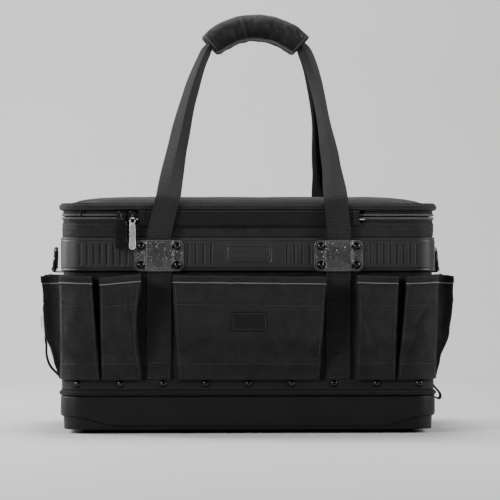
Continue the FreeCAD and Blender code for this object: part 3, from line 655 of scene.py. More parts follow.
M_NYLON = nylon("coarse_nylon", 0.001, 0.019, 0.0009)
M_COLLAR = nylon("collar_nylon", 0.002, 0.028, 0.0010)
M_PANEL = nylon("panel_nylon", 0.001, 0.006, 0.0006, 0.03)
M_LINING = nylon("lining_cloth", 0.020, 0.055, 0.0007, 0.0)
M_WEBBING = ribbed_webbing("ribbed_webbing")
M_BINDING = ribbed_webbing("binding_tape", 0.0016, 0.003, 0.022)
M_WELT = ribbed_webbing("welt_tape", 0.0016, 0.001, 0.005)
M_RUBBER = rubber("band_rubber")
M_LEATHER = pebbled_leather("plate_leather", 0.0024, 0.004, 0.030, (0.32, 0.16), 0.0022, 0.8, 0.7)
M_GRIP = pebbled_leather("grip_leather", 0.0016, 0.001, 0.004, (0.40, 0.26), 0.0010, 0.0, 0.26)
M_PLASTIC = moulded("tub_plastic", 0.002, 0.006, (0.50, 0.36), 0.0016, 0.0004, shine=0.24)
M_SOLE = moulded("sole_rubber", 0.008, 0.014, (0.8, 0.7))
M_BOARD = moulded("board_plastic", 0.025, 0.040, (0.6, 0.5))
M_BLACK = metal("black_lacquer", (0.006, 0.006, 0.0065), (0.014, 0.014, 0.015), 0.16, 0.0)
M_GUN = metal("rivet_black", (0.020, 0.020, 0.021), (0.045, 0.045, 0.047), 0.20, 1.0)
M_STEEL = metal("bright_steel", (0.80, 0.78, 0.77), (0.95, 0.93, 0.92), 0.30)
M_TAB = moulded("pull_rubber", 0.003, 0.006, (0.30, 0.18), 0.0009, 0.0001)
# Zip coil: its own colour is dark, and the grey here is lighter than that, a painted highlight on the turns
# that makes up for the shadow under the lid's rim.
M_COIL_PAINTED_HIGHLIGHT = braid("zip_coil_painted_highlight", (0.06, 0.058, 0.056), (0.24, 0.236, 0.23), 0.0008, 0.34)
M_PIPING = braid("piping", (0.06, 0.058, 0.055), (0.22, 0.216, 0.21), 0.0030, 0.4)
M_THREAD = braid("thread", (0.010, 0.010, 0.009), (0.060, 0.058, 0.055), 0.0009)
# Light thread of the plates and grips, made brighter than the thread's own grey: partly its colour, partly a
# painted highlight along their stitched edges.
M_LIGHT_THREAD_PAINTED_HIGHLIGHT = braid("light_thread_painted_highlight", (0.08, 0.078, 0.074), (0.22, 0.216, 0.21), 0.0009)
# Cut edges of the plates and grips, far lighter than their leather: the colour is a painted highlight
# standing for light caught on the raw edges.
M_CUT_EDGE_PAINTED_HIGHLIGHT = pebbled_leather("cut_edge_painted_highlight", 0.0012, 0.045, 0.13, (0.6, 0.45), 0.0003)


# ---- tub, welt, strip, wall, collar and band ---------------------------------------------------
SKIRT_TOP = 0.0128          # height of the step line in the middle of a side
STEP_SWEEP = 0.0128         # how much higher it is at the ends
FLANGE_TOP = TUB_TOP + 0.026


def step_height(x):
    return SKIRT_TOP + STEP_SWEEP * ramp(abs(x), ((HALF_X - 0.075, 0.0), (HALF_X - 0.012, 1.0)))


def base_tub():
    """Moulded tub: round shoulder, step line that sweeps up at the ends, recessed skirt, inner flange."""
    out = tub_high.x - HALF_X
    low = tub_low.z
    profile = [(-0.0010, low), (-0.0006, low + 0.003), (-0.0008, SKIRT_TOP - 0.004)]
    profile += [(0.0, SKIRT_TOP - 0.0016)]
    profile += [(out - 0.0016, SKIRT_TOP - 0.0008), (out, SKIRT_TOP + 0.0010)]
    profile += [(out + 0.0003, SKIRT_TOP + 0.010), (out, TUB_TOP - 0.0032)]
    profile += arc_points(out - 0.003, TUB_TOP - 0.003, 0.003, 0.003, 15, 90, 5)
    profile += [(-0.0050, TUB_TOP), (-0.0050, FLANGE_TOP - 0.0006), (-0.0056, FLANGE_TOP)]
    profile += [(-0.0069, FLANGE_TOP), (-0.0075, FLANGE_TOP - 0.0006), (-0.0075, low + 0.012)]
    profile += [(-0.0105, low + 0.0045)]

    def shape(x, y, o, z):
        if z < TUB_TOP - 0.008 and z > low + 0.004 and o > -0.004:
            share = 1.0 if z <= SKIRT_TOP + 0.002 else (TUB_TOP - 0.008 - z) / (TUB_TOP - 0.010 - SKIRT_TOP)
            return o, z + (step_height(x) - SKIRT_TOP) * max(0.0, share)
        return o, z

    mesh = sweep("base_tub_shell", profile, step=0.006, shape=shape, close=False, wobble=0.0002,
                 wobble_size=0.06)
    whole = bmesh.new()
    whole.from_mesh(mesh)
    count = len(profile)
    whole.verts.ensure_lookup_table()
    rings = len(whole.verts) // count
    whole.faces.new([whole.verts[i * count] for i in range(rings)])
    whole.faces.new([whole.verts[i * count + count - 1] for i in reversed(range(rings))])
    bmesh.ops.recalc_face_normals(whole, faces=whole.faces)
    whole.to_mesh(mesh)
    whole.free()
    mesh.set_sharp_from_angle(angle=math.radians(35))
    return new_object("base_tub_shell", mesh, M_PLASTIC, "bag", ["base_tub"])


def base_welt():
    """Rolled welt: a soft bead with a stitched valley above it."""
    middle = (welt_low.z + welt_high.z) / 2
    half = (welt_high.z - welt_low.z) / 2
    reach = welt_high.x - HALF_X
    profile = [(0.0002, welt_low.z)]
    profile += arc_points(reach - 0.0036, middle - 0.0008, 0.0036, half - 0.0010, -80, 80, 10)
    profile += [(0.0024, welt_high.z - 0.0006), (0.0002, welt_high.z)]
    mesh = sweep("base_welt_roll", profile, step=0.005, wobble=0.0005, wobble_size=0.03)
    return new_object("base_welt_roll", mesh, M_WELT, "bag", ["base_welt"])


def rivet_strip():
    """Webbing strip round the foot, with its two edges turned under."""
    thick = strip_high.x - HALF_X
    low, high = strip_low.z, strip_high.z
    profile = [(0.0001, low), (thick - 0.0007, low + 0.0001), (thick, low + 0.0009), (thick, low + 0.0024),
               (thick - 0.0004, low + 0.0032), (thick, low + 0.0042), (thick, high - 0.0042),
               (thick - 0.0004, high - 0.0032), (thick, high - 0.0024), (thick, high - 0.0009),
               (thick - 0.0007, high - 0.0001), (0.0001, high)]
    mesh = sweep("rivet_strip_webbing", profile, step=0.005, wobble=0.0003, wobble_size=0.03)
    return new_object("rivet_strip_webbing", mesh, M_BINDING, "bag", ["rivet_strip"])


def wall_fabric():
    """The wall's nylon, drawn in a little between its seams, and the lining on its inner side."""
    rows = spread(wall_low.z, wall_high.z, 24)
    profile = [(0.0, z) for z in rows] + [(-FABRIC, z) for z in reversed(rows)]
    mesh = sweep("wall_nylon", profile, step=0.010, wobble=0.0006, wobble_size=0.05)
    new_object("wall_nylon", mesh, M_NYLON, "bag", ["body_wall"])
    lining_low, lining_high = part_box("inner_lining")
    inner = lining_high.x - HALF_X
    rows = spread(lining_low.z, lining_high.z, 30)

    def slack(x, y, o, z):
        sag = 0.0007 * rough(x * 2, y * 2, z, 0.06, 5.0)
        return o + min(0.0, sag) - 0.0002, z

    profile = [(inner, z) for z in rows] + [(inner - LINING_THICK, z) for z in reversed(rows)]
    mesh = sweep("lining_cloth", profile, step=0.010, shape=slack)
    new_object("lining_cloth", mesh, M_LINING, "bag", ["inner_lining"])


LINING_THICK = 0.0011
COLLAR_PUFF = 0.0009        # how far the collar swells between its seams
COLLAR_SEAMS = (0.14, 0.55, 0.84)   # heights of its seams, as shares of the collar's own


def collar_band():
    """Stitched collar above the rubber band, slightly rolled at its top edge."""
    low, high = collar_low.z, collar_high.z
    thick = collar_high.x - HALF_X
    profile = [(0.0001, low)]
    for t in spread(0, 1, 12):
        puff = COLLAR_PUFF * math.sin(math.pi * t) + 0.0007 * dip(t - 0.9, 0.08)
        profile.append((thick + puff - 0.0004, low + (high - low) * t))
    profile.append((0.0001, high))
    mesh = sweep("collar_nylon", profile, step=0.006, wobble=0.0005, wobble_size=0.025)
    new_object("collar_nylon", mesh, M_COLLAR, "bag", ["collar"])
    stitches = Bits()
    path = plan_path(0.010)
    path.append(path[0])
    for share in COLLAR_SEAMS:
        z = low + (high - low) * share
        points, ups = along_plan(path, thick + COLLAR_PUFF * math.sin(math.pi * share), z)
        wavy = [(px, py, z + 0.0003 * rough(x, y, z, 0.02)) for (px, py, _), (x, y, *_) in zip(points, path)]
        stitches.seam(wavy, ups, *WALL_STITCH)
    stitches.piece("collar_stitches", M_THREAD, "bag")


GROOVE_HALF = 0.0011
GROOVE_DEPTH = 0.0016
GROOVE_TALL = 0.031
OUTER_GROOVES = [HALF_X - 0.025 - 0.0094 * i for i in range(8)]
PLATE_HALF = (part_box("front_right_plate")[1].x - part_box("front_right_plate")[0].x) / 2
INNER_GROOVES = [STRAP_X - PLATE_HALF - 0.006 - 0.011 * i for i in range(4)]
GROOVE_MARKS = (0.0004, 0.0008, 0.0012, 0.0017)     # where the mesh follows a groove's slope
MOTIF_HALF = (0.031, 0.012)
MOTIF_CORNER = 0.006
MOTIF_MARKS = (0.0008, 0.0014, 0.0020)
BAND_ROUND = 0.0014         # rounding of the band's two edges


def band_relief(x, y, z):
    """Depth of the band's moulded relief at a point of its front or back face."""
    middle = (band_low.z + band_high.z) / 2
    depth = 0.0
    if abs(y) > HALF_Y - 0.001:
        tall = smooth((GROOVE_TALL / 2 - abs(z - middle)) / 0.0008)
        for centre in OUTER_GROOVES + INNER_GROOVES:
            across = abs(abs(x) - centre)
            if across < GROOVE_HALF + 0.0007:
                depth = max(depth, GROOVE_DEPTH * tall * smooth((GROOVE_HALF + 0.0005 - across) / 0.0008))
        qx = abs(x) - MOTIF_HALF[0] + MOTIF_CORNER
        qz = abs(z - middle) - MOTIF_HALF[1] + MOTIF_CORNER
        edge = math.hypot(max(qx, 0), max(qz, 0)) + min(max(qx, qz), 0) - MOTIF_CORNER
        depth = max(depth, 0.0010 * smooth((0.0018 - abs(edge)) / 0.0010))
        inner = edge + 0.0065
        depth = max(depth, 0.0007 * smooth((0.0014 - abs(inner)) / 0.0008))
    edge_gap = min(z - band_low.z, band_high.z - z)
    depth = max(depth, 0.0009 * smooth((0.0011 - abs(edge_gap - 0.0034)) / 0.0007))
    return depth


def impact_band():
    """Moulded rubber band: upright grooves, a plain outlined panel, beads along both edges."""
    low, high = band_low.z, band_high.z
    thick = band_high.x - HALF_X
    inner = thick - BAND_ROUND
    profile = [(0.0002, low), (thick - 0.0016, low)]
    profile += arc_points(inner, low + BAND_ROUND, BAND_ROUND, BAND_ROUND, -70, -20, 2)
    profile += [(thick, z) for z in spread(low + 0.0016, high - 0.0016, 56)]
    profile += arc_points(inner, high - BAND_ROUND, BAND_ROUND, BAND_ROUND, 20, 70, 2)
    profile += [(thick - 0.0016, high), (0.0002, high)]
    marks = set()
    for centres, gaps in ((OUTER_GROOVES + INNER_GROOVES, GROOVE_MARKS), (MOTIF_HALF[:1], MOTIF_MARKS)):
        for centre in centres:
            for gap in gaps:
                marks |= {centre + gap, centre - gap, -centre - gap, gap - centre}

    def relief(x, y, o, z):
        if o < thick - 0.00001:
            return o, z
        return o - band_relief(x, y, z), z

    mesh = sweep("band_rubber_relief", profile, step=0.0022, shape=relief, breaks=sorted(marks), sharp=60,
                 wobble=0.0003, wobble_size=0.08, corner_steps=24)
    return new_object("band_rubber_relief", mesh, M_RUBBER, "bag", ["impact_band"])


base_tub()
base_welt()
rivet_strip()
wall_fabric()
collar_band()
impact_band()

# ---- pockets ------------------------------------------------------------------------------------
POCKET_TALL = POCKET_TOP - STRIP_TOP
POCKET_SWELL = ((0.0, 0.0070), (0.030, 0.0150), (0.062, 0.0270), (0.105, 0.0315), (POCKET_TALL, 0.0325))
POCKET_TUCK = 0.0005        # how far the pocket's foot goes under the strip's top edge
PIPING_DROP = 0.0107        # below the pocket's top edge
HEM_DROP = 0.0420
PATCH_RISE = 0.0245         # top of the reinforcement at the pocket's foot
LEATHER_LIP = 0.0007
PIPINGS = []                # (points, outward direction, seed) of every length of piping
SEAMS = Bits()


def crease(u, z, fold):
    """A pressed fold from one point of the pocket's face to another, with a ridge beside it."""
    u0, z0, u1, z1, width, depth = fold
    du, dz = u1 - u0, z1 - z0
    length = math.hypot(du, dz)
    t = ((u - u0) * du + (z - z0) * dz) / length ** 2
    if t < -0.25 or t > 1.25:
        return 0.0
    away = ((u - u0) * dz - (z - z0) * du) / length
    fade = smooth((t + 0.25) / 0.45) * smooth((1.25 - t) / 0.45)
    valley = math.exp(-(away / width) ** 2)
    ridge = math.exp(-((away - 1.9 * width) / (1.3 * width)) ** 2)
    return depth * fade * (0.6 * ridge - valley)


class Pocket:
    """Gusseted pocket, open at its top. place(u, d, z) puts a point that lies u along the wall and d out
    from it; edges gives the u of the face's and of the gussets' two sides at t up the pocket."""

    rows = 54
    gusset = 7
    column_width = 0.0034

    def __init__(self, place, edges, root_depths=(0.0006, 0.0006), pinch=(0.0, 0.0), folds=(), seed=0.0,
                 rounding=None, slump=0.0, crown=0.0022, tilt=0.0):
        self.place = place
        self.edges = edges
        self.root_depths = root_depths
        self.pinch = pinch
        self.folds = folds
        self.seed = seed
        self.rounding = rounding
        self.slump = slump
        self.crown = crown
        self.tilt = tilt
        low_edge, high_edge = edges(0.5)
        self.width = high_edge - low_edge
        self.columns = max(10, round(self.width / self.column_width))
        self.wide = self.columns + 1 + 2 * self.gusset

    def sides(self, t):
        """The face's two sides at t up the pocket, drawn together by the pinch."""
        a, b = self.edges(t)
        squeeze = math.sin(math.pi * min(1.0, t / 0.97)) ** 1.3 if t < 0.97 else 0.0
        return a + self.pinch[0] * squeeze, b - self.pinch[1] * squeeze

    def depth(self, u, z, t):
        """How far the face stands out from the wall."""
        a, b = self.sides(t)
        seed = self.seed
        rise = z - STRIP_TOP
        top_gap = POCKET_TOP - z
        depth = line(rise, POCKET_SWELL) * 0.45 + ramp(rise, POCKET_SWELL) * 0.55
        if self.rounding:
            depth -= self.rounding(u, depth)
        bulge = math.sin(math.pi * min(1.0, max(0.0, (u - a) / (b - a)))) ** 0.7
        depth += self.crown * (bulge - 0.35) * smooth(t / 0.25) * (1 - 0.55 * smooth((t - 0.72) / 0.28))
        depth -= self.slump * bulge * smooth((t - 0.6) / 0.4)
        live = smooth(t / 0.2) * (1 - 0.5 * smooth((t - 0.8) / 0.15))
        depth += 0.0027 * live * rough(u, z * 0.45, seed, 0.034, seed)
        depth += 0.0012 * live * rough(u, z * 0.35, seed, 0.013, seed + 4)
        depth += 0.0010 * live * rough(u * 0.5, z, seed, 0.016, seed + 9)
        for fold in self.folds:
            depth += crease(u, z, fold)
        depth += LEATHER_LIP * smooth((PATCH_RISE - rise) / 0.0012)
        depth += 0.0011 * smooth((PIPING_DROP + 0.0004 - top_gap) / 0.0012)
        depth -= 0.0010 * dip(top_gap - HEM_DROP, 0.0016)
        pucker = math.sin(u * 900 + 4 * rough(u, 0, seed, 0.02))
        return depth + 0.0005 * pucker * dip(top_gap - HEM_DROP, 0.006)

    def gusset_points(self, z, t, index):
        """One gusset from its root at the wall up to the face's side, folded inwards on the way."""
        way = 1 - 2 * index
        root = self.edges(t)[index]
        edge = self.sides(t)[index]
        foot = self.root_depths[index]
        deep = self.depth(edge, z, t)
        fold_in = 0.16 * (0.4 + 0.6 * t) * deep
        points = []
        for k in range(self.gusset):
            s = k / self.gusset
            inward = fold_in * math.sin(math.pi * s)
            inward += 0.0008 * rough(s * 0.05, z, self.seed + 2 * index, 0.02)
            points.append((root + (edge - root) * s + way * inward, foot + (deep - 0.0012 - foot) * s))
        return points

    def cloth(self):
        """Verts and UVs of the pocket, row by row from its foot, each row from gusset to gusset."""
        verts = []
        uvs = []
        for i in range(self.rows):
            t = i / (self.rows - 1)
            z = STRIP_TOP - POCKET_TUCK + (POCKET_TALL + POCKET_TUCK) * t
            a, b = self.sides(t)
            row = self.gusset_points(z, t, 0)
            row += [(u, self.depth(u, z, t)) for u in spread(a, b, self.columns)]
            row += reversed(self.gusset_points(z, t, 1))
            loose = smooth((t - 0.8) / 0.2)
            for (u, d), run in zip(row, distances(row)):
                sway = 0.0020 * rough(u, d, self.seed, 0.028, self.seed + 1) - self.slump * 0.25
                lean = self.tilt * (min(1.0, max(0.0, (u - a) / (b - a))) - 0.5) * smooth(t * 1.3)
                verts.append(self.place(u, d, z + loose * sway + lean))
                uvs.append((run, z))
        return verts, uvs

    def on_face(self, s, z, lift=0.0):
        """Point of the face at share s of its width, lift metres proud of it."""
        t = (z - STRIP_TOP) / POCKET_TALL
        a, b = self.sides(t)
        u = a + (b - a) * s
        return Vector(self.place(u, self.depth(u, z, t) + lift, z + self.tilt * (s - 0.5) * smooth(t * 1.3)))

    def trim(self, outward):
        """Reflective piping under the hem, the hem's stitches and those of the seams and the foot patch."""
        steps = max(12, round(self.width / 0.004))
        z = POCKET_TOP - PIPING_DROP
        bead = []
        for i in range(steps + 1):
            bead.append(self.on_face(i / steps, z + 0.0005 * rough(i * 0.01, self.seed, 0, 0.03), 0.0001))
        PIPINGS.append((bead, outward, self.seed))
        for height in (POCKET_TOP - HEM_DROP, STRIP_TOP + PATCH_RISE - 0.0022, POCKET_TOP - 0.0022):
            row = [self.on_face(s, height, 0.0003) for s in spread(0.02, 0.98, steps)]
            SEAMS.seam(row, outward, *WALL_STITCH)
        inset = 0.0035 / self.width
        for s in (inset, 1 - inset):
            heights = spread(STRIP_TOP + 0.004, POCKET_TOP - 0.014, 30)
            SEAMS.seam([self.on_face(s, height, 0.0002) for height in heights], outward, *WALL_STITCH)

    def pipe_gussets(self, verts):
        """Carries the piping round on to the two gussets."""
        middle = self.wide // 2
        level = min(range(self.rows),
                    key=lambda i: abs(verts[i * self.wide + middle][2] - POCKET_TOP + PIPING_DROP))
        chain = [Vector(verts[level * self.wide + k]) for k in range(self.wide)]
        PIPINGS.append((chain[:self.gusset + 1], Vector((0, -1, 0)), self.seed))
        PIPINGS.append((chain[self.gusset + self.columns:], Vector((0, 1, 0)), self.seed))

    def sew(self, name, node, piped_gussets=False):
        """Makes the pocket's cloth and adds its trimmings to the shared ones."""
        verts, uvs = self.cloth()
        mesh = mesh_from(name, verts, grid_faces(self.rows, self.wide), uvs, 55)
        outward = (Vector(self.place(0.0, 1.0, 0.0)) - Vector(self.place(0.0, 0.0, 0.0))).normalized()
        face_towards(mesh, outward, (self.rows // 2) * (self.wide - 1) + self.wide // 2)
        piece = new_object(name, mesh, M_NYLON)
        thicken(piece, 0.0019, 60, bevel=0.0006)
        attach(piece, "bag")
        if node:
            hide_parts(node)
        self.trim(outward)
        if piped_gussets:
            self.pipe_gussets(verts)


def piping_bead(points, outward, seed):
    """A flattened bead along some points, as verts, faces and UVs."""
    sides = 8
    verts = []
    uvs = []
    for i, (p, run) in enumerate(zip(points, distances(points))):
        along = heading(points, i)
        side = along.cross(outward).normalized()
        out = side.cross(along).normalized()
        if out.dot(outward) < 0:
            out = -out
        thick = 1.0 + 0.25 * rough(run, seed, 0, 0.02, 7)
        for k in range(sides):
            a = 2 * math.pi * k / sides
            across, proud = 0.0009 * thick * math.cos(a), 0.0008 * thick * math.sin(a) + 0.0002
            verts.append(p + side * across + out * proud)
            uvs.append((run, k * 0.0008))
    faces = grid_faces(len(points), sides, close_columns=True)
    cap_ends(faces, len(points), sides)
    return verts, faces, uvs


def piping_piece():
    """All the pockets' piping in one."""
    parts = [piping_bead(*piping) for piping in PIPINGS]
    new_object("pocket_piping", mesh_from("pocket_piping", *merged(parts), 60), M_PIPING, "bag")


def tapered(low_foot, low_top, high_foot, high_top):
    return lambda t: (low_foot + (low_top - low_foot) * t, high_foot + (high_top - high_foot) * t)


def mirrored(edges):
    def other(t):
        a, b = edges(t)
        return -b, -a
    return other


def corner_round(u, depth):
    """How far the corner pocket's face falls back as it goes round the bag's corner."""
    past = max(0.0, abs(u) - (HALF_X - CORNER))
    r = CORNER + depth
    return r - math.sqrt(max(r * r - past * past, (0.4 * r) ** 2))


CORNER_TAPER = 0.011
NARROW_TAPER = 0.0025
CENTRE_TAPER = 0.009
END_TAPER = 0.005
END_POCKET_INNER = 0.018    # from the bag's middle to an end pocket's inner side, at the top


def side_pockets(side):
    """The five pockets of the front (-1) or back (1). Seeds and folds differ so that no two are alike."""
    word = "front" if side < 0 else "back"
    low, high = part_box("front_corner_pocket_right")
    corner = tapered(low.x, low.x + CORNER_TAPER, high.x, high.x)
    low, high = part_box("front_narrow_pocket_right")
    narrow = tapered(low.x, low.x, high.x - NARROW_TAPER, high.x)
    low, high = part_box("front_centre_pocket")
    centre = tapered(low.x + CENTRE_TAPER, low.x, high.x - CENTRE_TAPER, high.x)

    def place(u, d, z):
        return (u, side * (HALF_Y + d), z)

    def fold(x0, rise0, x1, rise1, width, depth):
        return (x0, STRIP_TOP + rise0, x1, STRIP_TOP + rise1, width, depth)

    seed = 1.0 if side < 0 else 21.0
    right_folds = (fold(0.254, 0.106, 0.232, 0.070, 0.0035, 0.0028),
                   fold(0.225, 0.02, 0.240, 0.07, 0.004, 0.0018))
    left_folds = (fold(-0.262, 0.050, -0.236, 0.032, 0.004, 0.0016),
                  fold(-0.228, 0.13, -0.240, 0.08, 0.005, 0.0015))
    corner_right = Pocket(place, corner, (0.0006, -0.024), (0.0, 0.001), right_folds, seed + 1, corner_round,
                          tilt=0.0018)
    corner_right.sew(word + "_corner_right_nylon", word + "_corner_pocket_right")
    corner_left = Pocket(place, mirrored(corner), (-0.024, 0.0006), (0.001, 0.0), left_folds, seed + 2,
                         corner_round, tilt=-0.0015)
    corner_left.sew(word + "_corner_left_nylon", word + "_corner_pocket_left")
    folds = (fold(0.160, 0.10, 0.176, 0.05, 0.004, 0.002),)
    narrow_right = Pocket(place, narrow, pinch=(0.0015, 0.001), folds=folds, seed=seed + 3, slump=0.004,
                          tilt=-0.0010)
    narrow_right.sew(word + "_narrow_right_nylon", word + "_narrow_pocket_right")
    folds = (fold(-0.172, 0.12, -0.164, 0.05, 0.005, 0.003),)
    narrow_left = Pocket(place, mirrored(narrow), pinch=(0.0, 0.0075), folds=folds, seed=seed + 4,
                         slump=0.001, tilt=0.0055)
    narrow_left.sew(word + "_narrow_left_nylon", word + "_narrow_pocket_left")
    folds = (fold(-0.095, 0.035, -0.055, 0.052, 0.006, 0.0016),
             fold(0.095, 0.032, 0.050, 0.055, 0.006, 0.0016),
             fold(0.02, 0.130, 0.06, 0.112, 0.005, 0.0010), fold(-0.08, 0.118, -0.03, 0.126, 0.005, 0.0009))
    middle = Pocket(place, centre, folds=folds, seed=seed + 5, slump=0.003, crown=0.0030, tilt=-0.0025)
    middle.sew(word + "_centre_nylon", word + "_centre_pocket")


def end_pockets(side):
    """The two pockets of an end. The CAD has them as one node, which the front one stands for."""
    word = "left" if side < 0 else "right"
    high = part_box(word + "_end_pockets")[1]
    edges = tapered(END_POCKET_INNER + END_TAPER, END_POCKET_INNER, high.y - END_TAPER, high.y)

    def place(u, d, z):
        return (side * (HALF_X + d), u, z)

    z = STRIP_TOP
    for half, pick in ((-1, mirrored(edges)), (1, edges)):
        a = half * 0.09
        folds = ((a, z + 0.045, a * 0.55, z + 0.030, 0.005, 0.0024),
                 (a, z + 0.075, a * 0.6, z + 0.088, 0.005, 0.0018))
        pocket = Pocket(place, pick, folds=folds, seed=40 + 3 * side + half, slump=0.003)
        if half < 0:
            pocket.sew(word + "_end_front_nylon", word + "_end_pockets", True)
        else:
            pocket.sew(word + "_end_back_nylon", None, True)


for side in (-1, 1):
    side_pockets(side)
for side in (-1, 1):
    end_pockets(side)
piping_piece()
SEAMS.piece("pocket_stitches", M_THREAD, "bag")

# ---- fixed straps and leather plates ------------------------------------------------------------
WEB = 0.0024
RIBBON_STEPS = 8
RIBBON_EDGE = 0.0006        # how much thinner each face is along a ribbon's edges


def ribbon(name, centres, wide, outs, width, thick, stands_for):
    """A webbing strap: centres along it, the direction of its width, and that of its face at each centre."""
    verts = []
    uvs = []
    shares = spread(-1, 1, RIBBON_STEPS)
    for centre, out, run in zip(centres, outs, distances(centres)):
        for face, crown in ((1, 0.0002), (-1, 0.0)):
            for s in shares[::face]:
                lift = thick / 2 - (RIBBON_EDGE if abs(s) > 0.99 else 0.0) + crown * (1 - s * s)
                verts.append(centre + wide * (width / 2 * s) + out * (face * lift))
                uvs.append((width / 2 * s, run))
    loop = 2 * len(shares)
    faces = [tuple(reversed(f)) for f in grid_faces(len(centres), loop, close_columns=True)]
    cap_ends(faces, len(centres), loop)
    return gathered(name, [(verts, faces, uvs)], M_WEBBING, "bag", stands_for, 50)


def bar_tack(word, side, x, centres, outs):
    """Stitches of a fixed strap: a box with zigzags across it at the foot, and a row along each edge."""
    tack = Bits()
    face = side * (HALF_Y + WEB + 0.0016)
    up = Vector((0, side, 0))
    left, right = x - STRAP_HALF + 0.004, x + STRAP_HALF - 0.004
    z0, z1 = STRIP_TOP + 0.002, STRIP_TOP + 0.024
    box = [(left, face, z0), (right, face, z0), (right, face, z1), (left, face, z1), (left, face, z0)]
    tack.seam(box, up, *TACK_STITCH)
    for k in range(9):
        z = z0 + 0.0010 + 0.0024 * k
        tack.seam([(left, face, z), (right, face, z + 0.0012)], up, *ZIGZAG_STITCH)
    for s in (-1, 1):
        across = Vector((s * (STRAP_HALF - 0.0016), 0, 0))
        edge = [centre + across + out * 0.0016 for centre, out in zip(centres, outs)]
        tack.seam(edge, outs, *STRAP_STITCH)
    tack.piece(word + "_bar_tack", M_THREAD, "bag")


def fixed_strap(word, side, x, node):
    """Webbing sewn down the wall from the plate to the rivet strip, with a bar-tack patch at its foot."""
    wall = HALF_Y + WEB / 2
    band = band_high.y + WEB / 2
    seed = x * 10 + side
    profile = [(wall, STRIP_TOP + 0.0002), (wall, POCKET_TOP - 0.012), (wall + 0.0010, POCKET_TOP - 0.002),
               (band - 0.0006, band_low.z - 0.0005), (band, band_low.z + 0.005), (band, band_low.z + 0.0300)]
    centres = []
    for (y0, z0), (y1, z1) in zip(profile, profile[1:]):
        steps = max(2, round(math.hypot(y1 - y0, z1 - z0) / 0.006))
        for t in spread(0, 1, steps)[:-1]:
            z = z0 + (z1 - z0) * t
            y = y0 + (y1 - y0) * t + 0.0007 * rough(x, z, seed, 0.04) + 0.0007
            centres.append(Vector((x + 0.0008 * rough(z, x, seed, 0.09), side * y, z)))
    centres.append(Vector((x, side * profile[-1][0], profile[-1][1])))
    outs = []
    for i in range(len(centres)):
        out = Vector((1, 0, 0)).cross(heading(centres, i)).normalized()
        outs.append(out if out.y * side > 0 else -out)
    ribbon(word + "_webbing", centres, Vector((1, 0, 0)), outs, 2 * STRAP_HALF, WEB, [node])
    bar_tack(word, side, x, centres, outs)


PLATE_CORNER = 0.008
PLATE_RISE = 0.0026         # outer face of the leather where it lies flat on the band
PLATE_THICK = 0.0024
PLATE_RIVETS = (0.0256, 0.0134)     # from the plate's middle to its four rivets


class Plate:
    """A leather plate on the band: u across and v up from its middle."""

    def __init__(self, side, x, node):
        low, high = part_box(node)
        self.half_u = (high.x - low.x) / 2
        self.half_v = (high.z - low.z) / 2
        self.middle = (low.z + high.z) / 2
        self.side = side
        self.x = x
        self.seed = 3.0 + x * 7 + side

    def lift(self, u, v):
        """How far the leather stands off the band: it lies flat at the sides and bulges over the strap."""
        over = smooth((STRAP_HALF + 0.0045 - abs(u)) / 0.0050)
        lift = (WEB + 0.0006) * over
        lift += 0.0010 * over * math.cos(math.pi * v / self.half_v / 2)
        lift += 0.0005 * rough(u, v, self.seed, 0.012, self.seed)
        lift += 0.0005 * dip(abs(abs(u) - STRAP_HALF - 0.001), 0.0018)
        for du in (-PLATE_RIVETS[0], PLATE_RIVETS[0]):
            for dv in (-PLATE_RIVETS[1], PLATE_RIVETS[1]):
                lift -= 0.0007 * dip(math.hypot(u - du, v - dv), 0.0062)
        return lift

    def point(self, u, v, sunk=0.0):
        y = band_high.y + PLATE_RISE + self.lift(u, v) - sunk
        return Vector((self.x + u, self.side * y, self.middle + v))

    def rounded(self, s, t):
        """Point of a square grid (-1 to 1 both ways) pushed into the rounded rectangle."""
        u, v = s * self.half_u, t * self.half_v
        cu, cv = self.half_u - PLATE_CORNER, self.half_v - PLATE_CORNER
        ou, ov = abs(u) - cu, abs(v) - cv
        if ou > 0 and ov > 0:
            share = max(ou, ov) / math.hypot(ou, ov)
            return math.copysign(cu + ou * share, u), math.copysign(cv + ov * share, v)
        return u, v

    def outline(self, inset, step):
        """Points all the way round, this far inside the plate's edge."""
        corners = []
        cu, cv = self.half_u - PLATE_CORNER, self.half_v - PLATE_CORNER
        r = PLATE_CORNER - inset
        for k, (su, sv) in enumerate(((1, -1), (1, 1), (-1, 1), (-1, -1))):
            for a in spread((k - 1) * math.pi / 2, k * math.pi / 2, 6):
                corners.append((su * cu + r * math.cos(a), sv * cv + r * math.sin(a)))
        corners.append(corners[0])
        points = []
        for (u0, v0), (u1, v1) in zip(corners, corners[1:]):
            steps = max(1, round(math.hypot(u1 - u0, v1 - v0) / step))
            points += [self.point(u0 + (u1 - u0) * t, v0 + (v1 - v0) * t) for t in spread(0, 1, steps)[:-1]]
        return points


